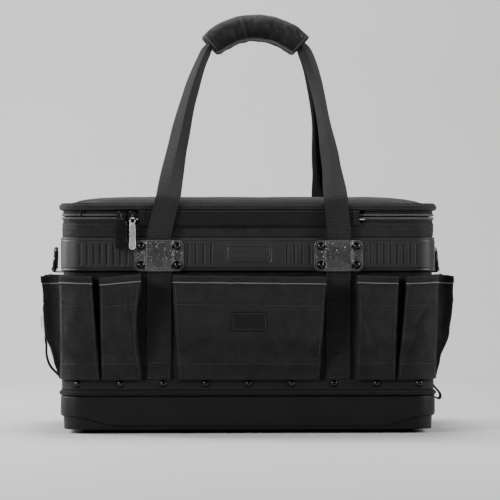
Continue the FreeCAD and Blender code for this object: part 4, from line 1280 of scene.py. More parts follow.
def leather_plate(word, side, x, node):
    """The plate's leather with a pressed groove along its edge, its stitches, and a light tube round its raw
    edge whose colour is a painted highlight.
    """
    plate = Plate(side, x, node)
    columns, rows = 46, 30
    verts = []
    uvs = []
    for t in spread(-1, 1, rows):
        t = math.copysign(1 - (1 - abs(t)) ** 1.25, t)
        for s in spread(-1, 1, columns):
            s = math.copysign(1 - (1 - abs(s)) ** 1.25, s)
            u, v = plate.rounded(s, t)
            gap = min((1 - abs(s)) * plate.half_u, (1 - abs(t)) * plate.half_v)
            sunk = 0.0010 * (1 - smooth(gap / 0.0016)) + 0.0005 * dip(gap - 0.0030, 0.0009)
            verts.append(plate.point(u, v, sunk))
            uvs.append((u + plate.half_u, v + plate.half_v))
    faces = grid_faces(rows + 1, columns + 1)
    if side > 0:
        faces = [tuple(reversed(f)) for f in faces]
    mesh = mesh_from(word + "_leather", verts, faces, uvs, 50)
    face_towards(mesh, (0, side, 0), len(mesh.polygons) // 2)
    piece = new_object(word + "_leather", mesh, M_LEATHER)
    thicken(piece, PLATE_THICK, 50)
    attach(piece, "bag")
    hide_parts(node)
    stitches = Bits()
    stitches.seam(plate.outline(0.0030, 0.003), Vector((0, side, 0)), *PLATE_STITCH)
    # The plate's stitches in the light thread, whose brightness is partly painted highlight.
    stitches.piece(word + "_leather_stitches", M_LIGHT_THREAD_PAINTED_HIGHLIGHT, "bag")
    # The tube round the rim is lighter than the leather: a painted highlight along the plate's edge.
    edge = [p - Vector((0, side * 0.0008, 0)) for p in plate.outline(0.0006, 0.002)]
    gathered(word + "_leather_edge_painted_highlight", [tube(edge, 0.0008, 8, True)], M_CUT_EDGE_PAINTED_HIGHLIGHT, "bag")


for word in ("front_left", "front_right", "back_left", "back_right"):
    side = -1 if word.startswith("front") else 1
    x = -STRAP_X if word.endswith("left") else STRAP_X
    fixed_strap(word, side, x, word + "_strap")
    leather_plate(word, side, x, word + "_plate")

# ---- lid, hinge panel and zip -------------------------------------------------------------------
RIM_OUT = rim_high.x - HALF_X
PAD_IN = lid_high.x - HALF_X


def lid_rim():
    """Fabric-covered border of the lid: a soft roll with a seam near its top and twin stitches below."""
    middle = (rim_low.z + rim_high.z) / 2
    half = (rim_high.z - rim_low.z) / 2
    profile = [(PAD_IN - 0.0010, rim_high.z - 0.0022), (PAD_IN + 0.0004, rim_high.z - 0.0002),
               (PAD_IN + 0.0013, rim_high.z + 0.0007), (PAD_IN + 0.0022, rim_high.z - 0.0001)]
    profile += arc_points(RIM_OUT - 0.0038, middle - 0.0002, 0.0038, half - 0.0006, 72, -78, 14)
    profile += [(PAD_IN + 0.0010, rim_low.z + 0.0002), (PAD_IN - 0.0010, rim_low.z + 0.0008)]
    mesh = sweep("lid_rim_nylon", profile, step=0.006, wobble=0.0006, wobble_size=0.03, corner_steps=16)
    new_object("lid_rim_nylon", mesh, M_COLLAR, "lid", ["lid_border"])
    stitches = Bits()
    path = plan_path(0.008)
    path.append(path[0])
    for z, lift in ((middle + 0.0026, -0.0004), (middle - 0.0020, -0.0002)):
        stitches.seam(*along_plan(path, RIM_OUT + lift, z), *RIM_STITCH)
    stitches.piece("lid_rim_stitches", M_THREAD, "lid")


def edge_distance(x, y, offset):
    """Distance in from the plan outline at that offset."""
    r = CORNER + offset
    qx = abs(x) - (HALF_X + offset) + r
    qy = abs(y) - (HALF_Y + offset) + r
    return r - (math.hypot(max(qx, 0), max(qy, 0)) + min(max(qx, qy), 0))


def plan_sheet(offset, rings, height):
    """Rings of points inside the plan outline, from its edge to its middle line: verts, faces and the
    number of points in a ring."""
    path = plan_path(0.009, 10)
    span = HALF_X - HALF_Y
    verts = []
    for f in spread(0, 1, rings):
        f = f ** 0.85
        for x, y, nx, ny in path:
            edge_x, edge_y = x + nx * offset, y + ny * offset
            middle_x = math.copysign(min(abs(edge_x), span), edge_x)
            px, py = edge_x + (middle_x - edge_x) * f, edge_y * (1 - f)
            verts.append((px, py, height(px, py)))
    return verts, grid_faces(rings + 1, len(path), close_columns=True), len(path)


def plan_slab(name, offset, rings, upper, lower, weld, sliver=0.0, uv=True):
    """Closed flat shape inside the plan outline, between two height functions."""
    verts, faces, count = plan_sheet(offset, rings, upper)
    bottom, bottom_faces, count = plan_sheet(offset, rings, lower)
    shift = len(verts)
    verts += bottom
    faces += [tuple(reversed([shift + i for i in face])) for face in bottom_faces]
    faces += [(j, shift + j, shift + (j + 1) % count, (j + 1) % count) for j in range(count)]
    mesh = mesh_from(name, verts, faces, [v[:2] for v in verts] if uv else None)
    turn_outwards(mesh, weld, sliver)
    return mesh


def pad_height(x, y):
    gap = max(0.0, edge_distance(x, y, PAD_IN))
    low = rim_high.z - 0.0015
    rise = 0.0060 * (1 - math.exp(-gap / 0.018)) + 0.0038 * smooth(gap / 0.125)
    return low + rise + 0.0007 * rough(x, y, 0, 0.05, 2.0) + 0.0005 * rough(x, y, 0, 0.02, 6.0)


PAD_VOXEL = 0.0055
PAD_CHANNEL = 0.0155        # from the pad's edge to its stitched channel


def lid_pad():
    """The lid's padded top: swollen by a cloth simulation, then stitched round its edge."""
    base_z = lid_low.z + 0.0004
    mesh = plan_slab("lid_pad", PAD_IN - 0.0002, 18, pad_height, lambda x, y: base_z, 0.0004, 0.0002,
                     uv=False)
    pad = new_object("lid_pad", mesh, M_NYLON)
    add_modifier(pad, "REMESH", mode="VOXEL", voxel_size=PAD_VOXEL)
    apply_modifiers(pad)
    swell(pad, pressure=3.5, cap=0.004, hold=lambda co: co.z < base_z + 0.003)
    for v in pad.data.vertices:
        gap = edge_distance(v.co.x, v.co.y, PAD_IN)
        if v.co.z > rim_high.z - 0.001 and gap > 0:
            v.co.z -= 0.0016 * dip(gap - PAD_CHANNEL, 0.0035)
            v.co.z = min(v.co.z, lid_high.z + 0.004)
        v.co.z = max(v.co.z, base_z)
    add_modifier(pad, "SUBSURF", levels=1, render_levels=1)
    apply_modifiers(pad)
    flat_uv(pad.data)
    pad.data.polygons.foreach_set("use_smooth", [True] * len(pad.data.polygons))
    if not pad.data.materials:
        pad.data.materials.append(M_NYLON)
    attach(pad, "lid")
    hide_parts("lid_top")
    return pad


def flat_uv(mesh):
    """Plan distances as UVs."""
    layer = mesh.uv_layers.get("UVMap") or mesh.uv_layers.new(name="UVMap")
    co = np.empty(len(mesh.vertices) * 3, np.float32)
    mesh.vertices.foreach_get("co", co)
    corners = np.empty(len(mesh.loops), np.int32)
    mesh.loops.foreach_get("vertex_index", corners)
    layer.data.foreach_set("uv", co.reshape(-1, 3)[corners][:, :2].ravel())


def swell(piece, pressure, cap, hold, frames=20):
    """Inflates a closed mesh as cloth, held where hold(point) says so, keeps each point within cap of
    where it was, and applies it."""
    scene = bpy.context.scene
    start = [v.co.copy() for v in piece.data.vertices]
    group = piece.vertex_groups.new(name="held")
    group.add([i for i, co in enumerate(start) if hold(co)], 1.0, "REPLACE")
    cloth = piece.modifiers.new("cloth", "CLOTH")
    cloth.settings.quality = 5
    cloth.settings.mass = 0.3
    cloth.settings.tension_stiffness = 15
    cloth.settings.compression_stiffness = 15
    cloth.settings.bending_stiffness = 1.5
    cloth.settings.use_pressure = True
    cloth.settings.uniform_pressure_force = pressure
    cloth.settings.effector_weights.gravity = 0
    cloth.collision_settings.use_collision = False
    cloth.settings.vertex_group_mass = "held"
    cloth.point_cache.frame_start = 1
    cloth.point_cache.frame_end = frames
    for frame_number in range(1, frames + 1):
        scene.frame_set(frame_number)
    graph = bpy.context.evaluated_depsgraph_get()
    mesh = bpy.data.meshes.new_from_object(piece.evaluated_get(graph))
    piece.modifiers.clear()
    piece.data = mesh
    for v, was in zip(mesh.vertices, start):
        moved = v.co - was
        if moved.length > cap:
            v.co = was + moved * (cap / moved.length)
    scene.frame_set(1)


def surface_of(mesh):
    """The mesh's faces as a tree that rays can be cast at."""
    return BVHTree.FromPolygons([v.co for v in mesh.vertices], [p.vertices[:] for p in mesh.polygons])


def lid_pad_stitches(pad):
    """Stitches in the channel round the pad, laid on its surface."""
    tree = surface_of(pad.data)
    points = []
    for x, y, z in along_plan(plan_path(0.006, 10), PAD_IN - PAD_CHANNEL, 0.5)[0]:
        hit = tree.ray_cast(Vector((x, y, z)), Vector((0, 0, -1)))[0]
        if hit is not None:
            points.append(hit + Vector((0, 0, 0.0002)))
    points.append(points[0])
    stitches = Bits()
    stitches.seam(points, Vector((0, 0, 1)), *WALL_STITCH)
    stitches.piece("lid_pad_stitches", M_THREAD, "lid")


def lid_lining():
    """Cloth under the lid, slack between its bound edges."""
    low = rim_low.z

    def sag(x, y):
        gap = max(0.0, edge_distance(x, y, PAD_IN))
        droop = 0.0015 * smooth(gap / 0.05) * (0.6 + 0.4 * rough(x, y, 0, 0.08, 3))
        return low + 0.0002 + 0.0003 * rough(x, y, 0, 0.03, 8.0) - droop

    mesh = plan_slab("lid_lining_cloth", PAD_IN - 0.0004, 16, lambda x, y: low + 0.0011, sag, 0.00005)
    new_object("lid_lining_cloth", mesh, M_LINING, "lid", ["lid_lining"])


def hinge_panel():
    """One piece of cloth from the collar to the lid along the front: it is the lid's hinge."""
    low = collar_high.z - 0.0060
    high = rim_low.z + 0.0012
    mid = (panel_low.y + panel_high.y) / 2
    thick = 0.0012
    half = PANEL_HALF
    rows = 26
    columns = 110
    verts = []
    uvs = []
    for t in spread(0, 1, rows):
        z = low + (high - low) * t
        for x in spread(-half, half, columns):
            gap = half - abs(x)
            lift = 0.0006 * dip(gap - 0.003, 0.0016) + 0.0006 * math.sin(math.pi * t)
            lift += 0.0005 * rough(x, z * 2, 0, 0.03, 4.0) + 0.0007 * dip(t, 0.07)
            lift -= 0.0022 * smooth((0.12 - t) / 0.12)
            verts.append((x, mid - thick / 2 - lift, z))
            uvs.append((x + half, z - low))
    mesh = mesh_from("hinge_panel_cloth", verts, grid_faces(rows + 1, columns + 1), uvs)
    face_towards(mesh, (0, -1, 0))
    panel = new_object("hinge_panel_cloth", mesh, M_PANEL)
    thicken(panel, thick, 60)
    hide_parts("hinge_panel_lower", "hinge_panel_upper")
    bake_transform(panel)
    stitches = Bits()
    up = Vector((0, -1, 0))
    face = mid - thick / 2 - 0.0012
    for side in (-1, 1):
        for inset in (0.0055, 0.0080):
            row = [(side * (half - inset), face, z) for z in spread(low + 0.004, high - 0.002, 20)]
            stitches.seam(row, up, *PANEL_STITCH)
    row = [(x, face - 0.0002, high - 0.0026) for x in spread(-half + 0.004, half - 0.004, 90)]
    stitches.seam(row, up, *RIM_STITCH)
    seams = stitches.piece("hinge_panel_stitches", M_THREAD, None)
    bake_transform(seams)


COIL_PITCH = 0.0017
COIL_RISE = 0.0024          # from the middle of the zip to each row of coil turns
PARK_EDGE = HALF_X - CORNER


def on_hinge(x, y):
    return y < -HALF_Y + CORNER and abs(x) < PANEL_HALF + 0.0005


def on_park(x, y):
    return y < -HALF_Y + CORNER and -PARK_EDGE < x < -PANEL_HALF - 0.0005


def coil_turns(chain, z):
    """The turns of a zip's coil along a stretch of the plan path."""
    coil = Bits()
    travelled = 0.0
    target = 0.001
    for a, b in zip(chain, chain[1:]):
        span = math.hypot(b[0] - a[0], b[1] - a[1])
        while target <= travelled + span and span > 0:
            t = (target - travelled) / span
            x, y, nx, ny = (p + (q - p) * t for p, q in zip(a, b))
            lean = Vector((-ny, nx, 0)) * 0.10
            centre = (x + nx * 0.0018, y + ny * 0.0018, z)
            coil.bead(centre, Vector((0, 0, 1)) + lean, (nx, ny, 0), 0.0032, 0.00125, 0.0019)
            target += COIL_PITCH
        travelled += span
    return coil


def zip_part(name, node, body, z_tape, z_coil, keep):
    """One half of the zip: its tape, a row of coil turns, and the stitches that hold them."""
    low, high = z_tape
    profile = [(0.0004, low), (0.0007, (low + high) / 2), (0.0004, high), (-0.0010, high), (-0.0010, low)]
    mesh = sweep(name + "_tape", profile, step=0.008, keep=keep, wobble=0.0003, wobble_size=0.03)
    new_object(name + "_tape", mesh, M_BINDING, body, [node])
    chain = kept_stretch(plan_path(0.0015, 30), keep)
    # The turns are in the lighter coil colour, partly painted highlight.
    coil_turns(chain, z_coil).piece(name + "_coil", M_COIL_PAINTED_HIGHLIGHT, body, "zip")
    away = 0.0012 if z_coil > ZIP_MID else -0.0012
    cord = Bits()
    cord.seam(*along_plan(chain[::3], 0.0025, z_coil), *COIL_STITCH)
    cord.seam(*along_plan(chain[::3], 0.0010, z_coil + 2.6 * away), *TAPE_STITCH)
    cord.piece(name + "_stitches", M_THREAD, body)


lid_rim()
pad_piece = lid_pad()
lid_pad_stitches(pad_piece)
lid_lining()
hinge_panel()
zip_part("zip_lower", "zip_lower", "bag", (collar_high.z - 0.0004, ZIP_MID - 0.0006), ZIP_MID - COIL_RISE,
         lambda x, y: not on_hinge(x, y))
zip_part("zip_upper", "zip_upper", "lid", (ZIP_MID + 0.0006, rim_low.z + 0.0002), ZIP_MID + COIL_RISE,
         lambda x, y: not on_hinge(x, y) and not on_park(x, y))
zip_part("zip_parking", "zip_parking_end", "bag", (ZIP_MID + 0.0006, rim_low.z - 0.0008), ZIP_MID + COIL_RISE,
         on_park)

# ---- handles -----------------------------------------------------------------------------------
HANDLE_WIDTH = 0.034
HANDLE_THICK = 0.0026
GRIP_ARC = 0.098            # radius of the grip's centre line
GRIP_ANGLE = math.radians(44)
GRIP_TALL = 0.037
GRIP_DEEP = 0.026
LEG_STRAIGHT = 0.070
LEG_BEND = 0.034
SHOULDERS = {-1: 0.115, 1: 0.124}

grip_low, grip_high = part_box("front_grip_leather")
GRIP_X = (grip_low.x + grip_high.x) / 2
GRIP_Z = grip_high.z - GRIP_TALL / 2 - GRIP_ARC
GRIP_Y = (grip_low.y + grip_high.y) / 2
HANDLE_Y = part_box("front_handle_strap")[0].y + HANDLE_THICK / 2
HANDLE_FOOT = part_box("front_handle_strap")[0].z
FOLD = {-1: ((0.0, 0.0), (0.38, 38.0), (0.62, 54.0), (0.88, 64.0), (1.0, 74.0)),
        1: ((0.0, 6.0), (0.25, 41.0), (0.50, 60.0), (0.72, 57.0), (0.90, 56.0), (1.0, 66.0))}


def bezier(p, t):
    s = 1 - t
    return p[0] * s ** 3 + p[1] * (3 * s * s * t) + p[2] * (3 * s * t * t) + p[3] * t ** 3


def leg_path(leg, seed):
    """Centre line of one leg: straight up past the lid's rim, then in to the grip, and on inside it."""
    foot = Vector((leg * STRAP_X, HANDLE_Y, HANDLE_FOOT + 0.006))
    tucked = -(band_high.y + HANDLE_THICK / 2 + 0.0001)
    bend = Vector((leg * SHOULDERS[leg], HANDLE_Y, rim_high.z + 0.006))
    end = arch_point(-1, leg * GRIP_ANGLE)
    arriving = Vector((-leg * math.cos(GRIP_ANGLE), 0, math.sin(GRIP_ANGLE)))
    slope = end - bend
    slope.x *= 0.6
    slope.normalize()
    hidden = [Vector((foot.x, tucked, HANDLE_FOOT - 0.015 + 0.003 * i)) for i in range(4)]
    step = [hidden[-1].lerp(foot, t) for t in (0.25, 0.5, 0.75)]
    for i, share in enumerate((0.10, 0.5, 0.90)):
        step[i].y = tucked + (HANDLE_Y - tucked) * share
    lower = hidden + step + [foot.lerp(bend, i / 12) for i in range(12)]
    p = [bend, bend + slope * LEG_STRAIGHT, end - arriving * LEG_BEND, end + arriving * 0.004]
    upper = [bezier(p, i / 56) for i in range(57)]
    points = lower + upper
    shares = [0.0] * len(lower) + [i / 56 for i in range(57)]
    for i, point in enumerate(points):
        live = smooth((i - 6) / 12) * min(1.0, (len(points) - 1 - i) / 10)
        point.x += 0.0012 * live * rough(point.z, seed, 0, 0.07, seed)
        point.y += 0.0010 * live * rough(point.z, seed, 0, 0.06, seed + 5)
    for _ in range(2):
        between = [(a + b * 2 + c) / 4 for a, b, c in zip(points, points[1:], points[2:])]
        points = [points[0]] + between + [points[-1]]
    return points, shares


def handle_leg(side, leg, seed):
    """Webbing that folds along its middle as it rises, so that it enters the grip doubled. Returns
    verts, faces and UVs of a closed strip."""
    points, shares = leg_path(leg, seed)
    half_steps = 7
    reach = HANDLE_WIDTH / 2
    verts = []
    uvs = []
    for i, (centre, t, run) in enumerate(zip(points, shares, distances(points))):
        along = heading(points, i)
        out = Vector((0, -1, 0))
        out = (out - along * out.dot(along)).normalized()
        wide = along.cross(out).normalized()
        if wide.x < 0:
            wide = -wide
        fold = math.radians(ramp(t, FOLD[leg]))
        ridge = centre + out * (reach * math.sin(fold) / 2)
        for face in (1, -1):
            for k in range(-half_steps, half_steps + 1)[::face]:
                s = k / half_steps
                local = fold * (1 - dip(abs(s), 0.16))
                place = ridge + wide * (reach * s * math.cos(fold)) - out * (reach * abs(s) * math.sin(fold))
                normal = out * math.cos(local) + wide * (math.copysign(1, s) * math.sin(local) if k else 0.0)
                lift = HANDLE_THICK / 2 - (RIBBON_EDGE if abs(s) > 0.99 else 0.0)
                curl = 0.0006 * rough(s, run * 14, seed, 0.9, seed)
                verts.append(place + normal * (face * lift + curl))
                uvs.append((reach * s, run))
    loop = 2 * (2 * half_steps + 1)
    faces = grid_faces(len(points), loop, close_columns=True)
    cap_ends(faces, len(points), loop)
    if side > 0:
        verts = [Vector((v.x, -v.y, v.z)) for v in verts]
    return verts, faces, uvs


def handle_webbing(word, side):
    """A handle's two legs, as one piece. Their feet are sewn to the bag."""
    legs = [handle_leg(side, leg, 2.0 + leg + side * 3) for leg in (-1, 1)]
    piece = gathered(word + "_handle_webbing", legs, M_WEBBING, None, [word + "_handle_strap"], 50)
    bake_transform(piece)


def arch_point(side, angle, radius=GRIP_ARC, deep=0.0):
    """Point at an angle from the top of the grip's arch, deep metres out from its middle plane."""
    return Vector((GRIP_X + radius * math.sin(angle), (GRIP_Y - deep) * (1 if side < 0 else -1),
                   GRIP_Z + radius * math.cos(angle)))


def grip_point(side, angle, turn, seed, lift=0.0):
    """Point of the grip's leather: angle along the arch from its top, turn round the section from the
    top (0) through the outward face (90) to the seam below (180)."""
    a = math.radians(turn)
    along = angle / GRIP_ANGLE
    radial = GRIP_TALL / 2 * math.cos(a)
    deep = GRIP_DEEP / 2 * math.sin(a)
    under = max(0.0, -math.cos(a))
    front = max(0.0, math.sin(a)) if turn <= 180 else max(0.0, -math.sin(a))
    end_pinch = 1 - 0.10 * smooth((abs(along) - 0.72) / 0.28)
    gather = math.sin(angle * 30 + 3.5 * rough(angle, seed, 0, 0.3, seed) + 0.9 * math.cos(a))
    strength = (0.25 + dip(along + 0.05, 0.42)) * (0.2 + front * 0.8) * (0.35 + 0.65 * smooth(0.5 + under))
    wrinkle = -0.0026 * max(0.0, gather) ** 2 * strength
    wrinkle += 0.0011 * rough(angle * 0.09, a * 0.012, seed, 0.012, seed + 1)
    wrinkle += 0.0004 * rough(angle * 0.09, a * 0.012, seed, 0.005, seed + 2)
    sag = -0.0016 * under * (1 - along * along)
    scale = end_pinch + (wrinkle + lift + sag) / (GRIP_TALL / 2)
    return arch_point(side, angle, GRIP_ARC + radial * scale, deep * scale)


GRIP_STEPS = 120
GRIP_ROUND = 48


def close_grip_end(side, end, verts, faces, uvs):
    """Turns the leather in at an end of the grip and closes it behind the straps."""
    row = 0 if end < 0 else GRIP_STEPS
    angle = end * GRIP_ANGLE
    centre = arch_point(side, angle)
    inward = Vector((math.cos(angle), 0, -math.sin(angle))) * (-end * 0.004)
    ring = list(range(row * GRIP_ROUND, (row + 1) * GRIP_ROUND))
    before = ring
    for share, shift in ((0.14, Vector((0, 0, 0))), (0.20, inward)):
        after = list(range(len(verts), len(verts) + GRIP_ROUND))
        verts += [verts[k].lerp(centre, share) + shift for k in ring]
        uvs += [(0, 0)] * GRIP_ROUND
        for k in range(GRIP_ROUND):
            m = (k + 1) % GRIP_ROUND
            faces.append((before[k], before[m], after[m], after[k]))
        before = after
    faces.append(tuple(before))


def grip(word, side):
    """Leather wrapped round the foam, its two edges brought together and sewn along the underside."""
    body = word + "_handle"
    seed = 5.0 if side < 0 else 9.0
    verts = []
    uvs = []
    for angle in spread(-GRIP_ANGLE, GRIP_ANGLE, GRIP_STEPS):
        for turn in spread(-180, 180, GRIP_ROUND)[:-1]:
            verts.append(grip_point(side, angle, turn, seed))
            uvs.append((angle * GRIP_ARC, turn / 360 * 0.1))
    faces = grid_faces(GRIP_STEPS + 1, GRIP_ROUND, close_columns=True)
    for end in (-1, 1):
        close_grip_end(side, end, verts, faces, uvs)
    piece = gathered(word + "_grip_wrap", [(verts, faces, uvs)], M_GRIP, sharp=50)
    add_modifier(piece, "SUBSURF", levels=1, render_levels=1)
    apply_modifiers(piece)
    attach(piece, body)
    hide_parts(word + "_grip_leather", word + "_grip_foam")
    seam_flange(word, side, seed, body)
    grip_stitches(word, side, seed, body)


def seam_flange(word, side, seed, body):
    """The wrap's two raw edges, sewn together under the grip and proud of it."""
    steps, sides = 96, 10
    verts = []
    uvs = []
    for share in spread(-1, 1, steps):
        angle = GRIP_ANGLE * share * 0.985
        base = grip_point(side, angle, 180, seed)
        outward = Vector((-math.sin(angle), 0, -math.cos(angle)))
        across = outward.cross(Vector((math.cos(angle), 0, -math.sin(angle))))
        taper = 1 - 0.5 * smooth((abs(share) - 0.93) / 0.07)
        tall = 0.0034 * taper + 0.0003 * rough(angle * 0.1, seed, 0, 0.012, seed)
        sway = 0.0008 * rough(angle * 0.1, seed, 0, 0.02, seed + 3)
        for k in range(sides):
            a = 2 * math.pi * k / sides
            u = 0.0016 * math.copysign(abs(math.cos(a)) ** 0.5, math.cos(a))
            v = tall / 2 * math.copysign(abs(math.sin(a)) ** 0.5, math.sin(a))
            notch = 0.0006 * dip(u, 0.0004) if v > 0 else 0.0
            verts.append(base + outward * (v - notch + tall / 2 - 0.0008) + across * (u + sway))
            uvs.append((angle * GRIP_ARC, k * 0.001))
    faces = grid_faces(steps + 1, sides, close_columns=True)
    cap_ends(faces, steps + 1, sides)
    mesh = mesh_from(word + "_grip_seam", verts, faces, uvs, 60)
    turn_outwards(mesh)
    # The flange takes the light cut-edge colour, a painted highlight on the raw edges.
    new_object(word + "_grip_seam", mesh, M_CUT_EDGE_PAINTED_HIGHLIGHT, body)


def grip_stitches(word, side, seed, body):
    """The row of stitches along the grip's seam and one round each end."""
    stitches = Bits()
    angles = spread(-GRIP_ANGLE * 0.97, GRIP_ANGLE * 0.97, 80)
    points = [grip_point(side, angle, 164, seed, 0.0004) for angle in angles]
    ups = [point - arch_point(side, angle) for point, angle in zip(points, angles)]
    stitches.seam(points, ups, *GRIP_STITCH)
    for end in (-1, 1):
        angle = end * GRIP_ANGLE * 0.955
        ring = [grip_point(side, angle, turn, seed, 0.0003) for turn in range(-170, 171, 10)]
        stitches.seam(ring, [p - arch_point(side, angle) for p in ring], *GRIP_END_STITCH)
    # The grip's stitches in the light thread, whose brightness is partly painted highlight.
    stitches.piece(word + "_grip_stitches", M_LIGHT_THREAD_PAINTED_HIGHLIGHT, body)


for word, side in (("front", -1), ("back", 1)):
    handle_webbing(word, side)
    grip(word, side)

# ---- label, pulls, ring tabs, tool loop, strap tail and inner pockets ---------------------------
def label():
    """Woven label laid on the centre pocket's face, edges sewn down."""
    low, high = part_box("label_patch")
    tree = surface_of(bpy.data.objects["front_centre_nylon"].data)
    wide, tall, inset = 60, 34, 3
    verts = []
    uvs = []
    for z in spread(low.z, high.z, tall):
        for x in spread(low.x, high.x, wide):
            hit = tree.ray_cast(Vector((x, low.y - 0.05, z)), Vector((0, 1, 0)))[0]
            y = hit.y if hit else low.y
            gap = min(x - low.x, high.x - x, z - low.z, high.z - z)
            lift = 0.0011 * smooth(gap / 0.0012) - 0.0005 * dip(gap - 0.0024, 0.0007)
            verts.append((x, y - lift - 0.0001, z))
            uvs.append((x - low.x, z - low.z))
    mesh = mesh_from("woven_label", verts, grid_faces(tall + 1, wide + 1), uvs)
    face_towards(mesh, (0, -1, 0))
    piece = new_object("woven_label", mesh, woven_label("label_cloth", low, high))
    thicken(piece, 0.0008)
    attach(piece, "bag")
    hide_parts("label_patch")
    right, top = wide - inset, tall - inset
    border = [(inset, i) for i in range(inset, right + 1)] + [(j, right) for j in range(inset, top + 1)]
    border += [(top, i) for i in range(right, inset - 1, -1)]
    border += [(j, inset) for j in range(top, inset - 1, -1)]
    points = [Vector(verts[j * (wide + 1) + i]) + Vector((0, -0.0001, 0)) for j, i in border]
    stitches = Bits()
    stitches.seam(points, Vector((0, -1, 0)), *LABEL_STITCH)
    stitches.piece("woven_label_stitches", M_THREAD, "bag")


STEEL_BLADE = ((0.0, 0.0022), (0.09, 0.0041), (0.30, 0.0046), (0.65, 0.0044), (0.88, 0.0050), (1.0, 0.0052))


def rounded_end(t, start, length, half, least):
    """Half width of a blade that is rounded off from start to its end."""
    return half * math.sqrt(max(least, 1 - ((t - start) / length) ** 2))


def steel_pull():
    """Die-cast pull: a ring at the slider's bridge and a waisted blade with a raised rim."""
    low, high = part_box("pull_steel")
    x = (low.x + high.x) / 2
    y = (low.y + high.y) / 2
    ring_z = high.z - 0.0040
    top = ring_z - 0.0032
    tall = top - low.z
    blade = []
    for t in spread(0, 1, 30):
        half = rounded_end(t, 0.86, 0.145, 0.0050, 0.02) if t > 0.86 else ramp(t, STEEL_BLADE)
        blade.append((t, half, 0.0021 * (0.75 + 0.25 * smooth(t / 0.1))))
    rim = []
    for t in spread(0, 1, 12):
        rim.append((0.30 + 0.46 * t, 0.0030 * math.sin(math.pi * max(0.08, t)) ** 0.4, 0.0004))

    def place(u, v, w):
        return Vector((x + u, y + w, top - tall * v))

    def place_rim(u, v, w):
        return place(u, v, w - 0.0011)

    parts = [wire_ring(x, y, ring_z, 0.0039, 0.0036, 0.0009, 28), strip_plate(blade, place),
             strip_plate(rim, place_rim, 10, 3)]
    gathered("steel_pull", parts, M_STEEL, "pull_steel", ["pull_steel"], 50)


def tab_pull():
    """Moulded rubber tab: a thick lip along its edges, hung from the slider by a small wire link."""
    low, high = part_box("pull_tab")
    x = (low.x + high.x) / 2
    y = (low.y + high.y) / 2
    half = (high.x - low.x) / 2
    top = high.z - 0.0052
    tall = top - low.z

    def half_at(t):
        return half * (0.86 + 0.14 * smooth(t / 0.12))

    def place(u, v, w):
        return Vector((x + u, y + w, top - tall * v))

    body = []
    for t in spread(0, 1, 24):
        body.append((t, rounded_end(t, 0.93, 0.073, half, 0.03) if t > 0.93 else half_at(t), 0.0021))
    parts = [strip_plate(body, place)]
    for side in (-1, 1):
        edge = [place(side * (half_at(t) - 0.0009), t * 0.95, -0.0008) for t in spread(0, 1, 20)]
        parts.append(tube(edge, 0.0009, 8))
    gathered("tab_pull", parts, M_TAB, "pull_tab", ["pull_tab"], 50)
    link = wire_ring(x, y, high.z - 0.0042, 0.0036, 0.0036, 0.0008, 24)
    gathered("tab_pull_link", [link], M_BLACK, "pull_tab")


def slider_dressing(name, node):
    """Domed top shell of a slider over its plate, with a bridge for the pull."""
    low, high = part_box(node)
    x = (low.x + high.x) / 2
    shell = []
    for t in spread(0, 1, 16):
        half = 0.0062 * (0.82 + 0.18 * math.cos(2 * math.pi * (t - 0.5)))
        shell.append((t, half, 0.0046 * (0.55 + 0.45 * math.sin(math.pi * t))))

    def place(u, v, w):
        return Vector((x + u, -HALF_Y - 0.0052 + w, ZIP_MID + 0.0072 - 0.0144 * v))

    bridge = []
    for t in spread(0, 1, 12):
        y = -HALF_Y - 0.0072 - 0.0022 * math.sin(math.pi * t)
        bridge.append(Vector((x, y, ZIP_MID + 0.0050 - 0.0088 * t)))
    parts = [strip_plate(shell, place, 12, 3), tube(bridge, 0.0011, 10)]
    gathered(name, parts, M_BLACK, node, (), 50)


def ring_tab(side):
    """Webbing looped round a D-ring's bar and sewn to the end wall."""
    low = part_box("left_d_ring" if side < 0 else "right_d_ring")[0]
    tabs_low, tabs_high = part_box("ring_tabs")
    radius = 0.0041
    bar_z = low.z + 0.0030
    bar_x = tabs_high.x - 0.0053
    path = [(HALF_X + 0.0004, bar_z - radius - 0.0002), (HALF_X + 0.0040, bar_z - radius - 0.0004)]
    path += arc_points(bar_x, bar_z, radius, radius, -92, 160, 18)
    centres = [Vector((side * px, 0, pz)) for px, pz in path]
    outs = []
    for i in range(len(path)):
        along = heading(centres, i)
        outs.append(Vector((along.z * side, 0, -along.x * side)))
    name = "left_ring_tab" if side < 0 else "right_ring_tab"
    ribbon(name, centres, Vector((0, 1, 0)), outs, tabs_high.y - tabs_low.y, 0.0018,
           ["ring_tabs"] if side < 0 else ())


def smooth_path(points, steps=10):
    """Catmull-Rom curve through a few points."""
    out = []
    padded = [points[0]] + points + [points[-1]]
    for a, b, c, d in zip(padded, padded[1:], padded[2:], padded[3:]):
        for t in spread(0, 1, steps)[:-1]:
            bend = (2 * a - 5 * b + 4 * c - d) * t * t + (3 * b - a - 3 * c + d) * t ** 3
            out.append(0.5 * ((2 * b) + (c - a) * t + bend))
    out.append(points[-1])
    return out


def end_strap(name, node, side, points):
    """Webbing on an end of the bag, along a few points, each a (distance from the wall, height) that
    counts from the rivet strip's top."""
    low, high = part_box(node)
    y = (low.y + high.y) / 2
    path = smooth_path([Vector((side * (HALF_X + d), y, STRIP_TOP + rise)) for d, rise in points])
    outs = []
    for i in range(len(path)):
        out = heading(path, i).cross(Vector((0, 1, 0))).normalized()
        if outs and out.dot(outs[-1]) < 0:
            out = -out
        outs.append(out)
    ribbon(name, path, Vector((0, 1, 0)), outs, high.y - low.y, 0.0022, [node])


LOOP_POINTS = ((0.0292, 0.0600), (0.0302, 0.0560), (0.0288, 0.0440), (0.0284, 0.0300), (0.0235, 0.0150),
               (0.0130, 0.0030), (0.0042, -0.0050), (0.0038, -0.0092))
TAIL_POINTS = ((0.0040, -0.0010), (0.0048, -0.0050), (0.0120, -0.0160), (0.0215, -0.0280), (0.0200, -0.0350),
               (0.0120, -0.0310), (0.0075, -0.0180), (0.0060, -0.0080))


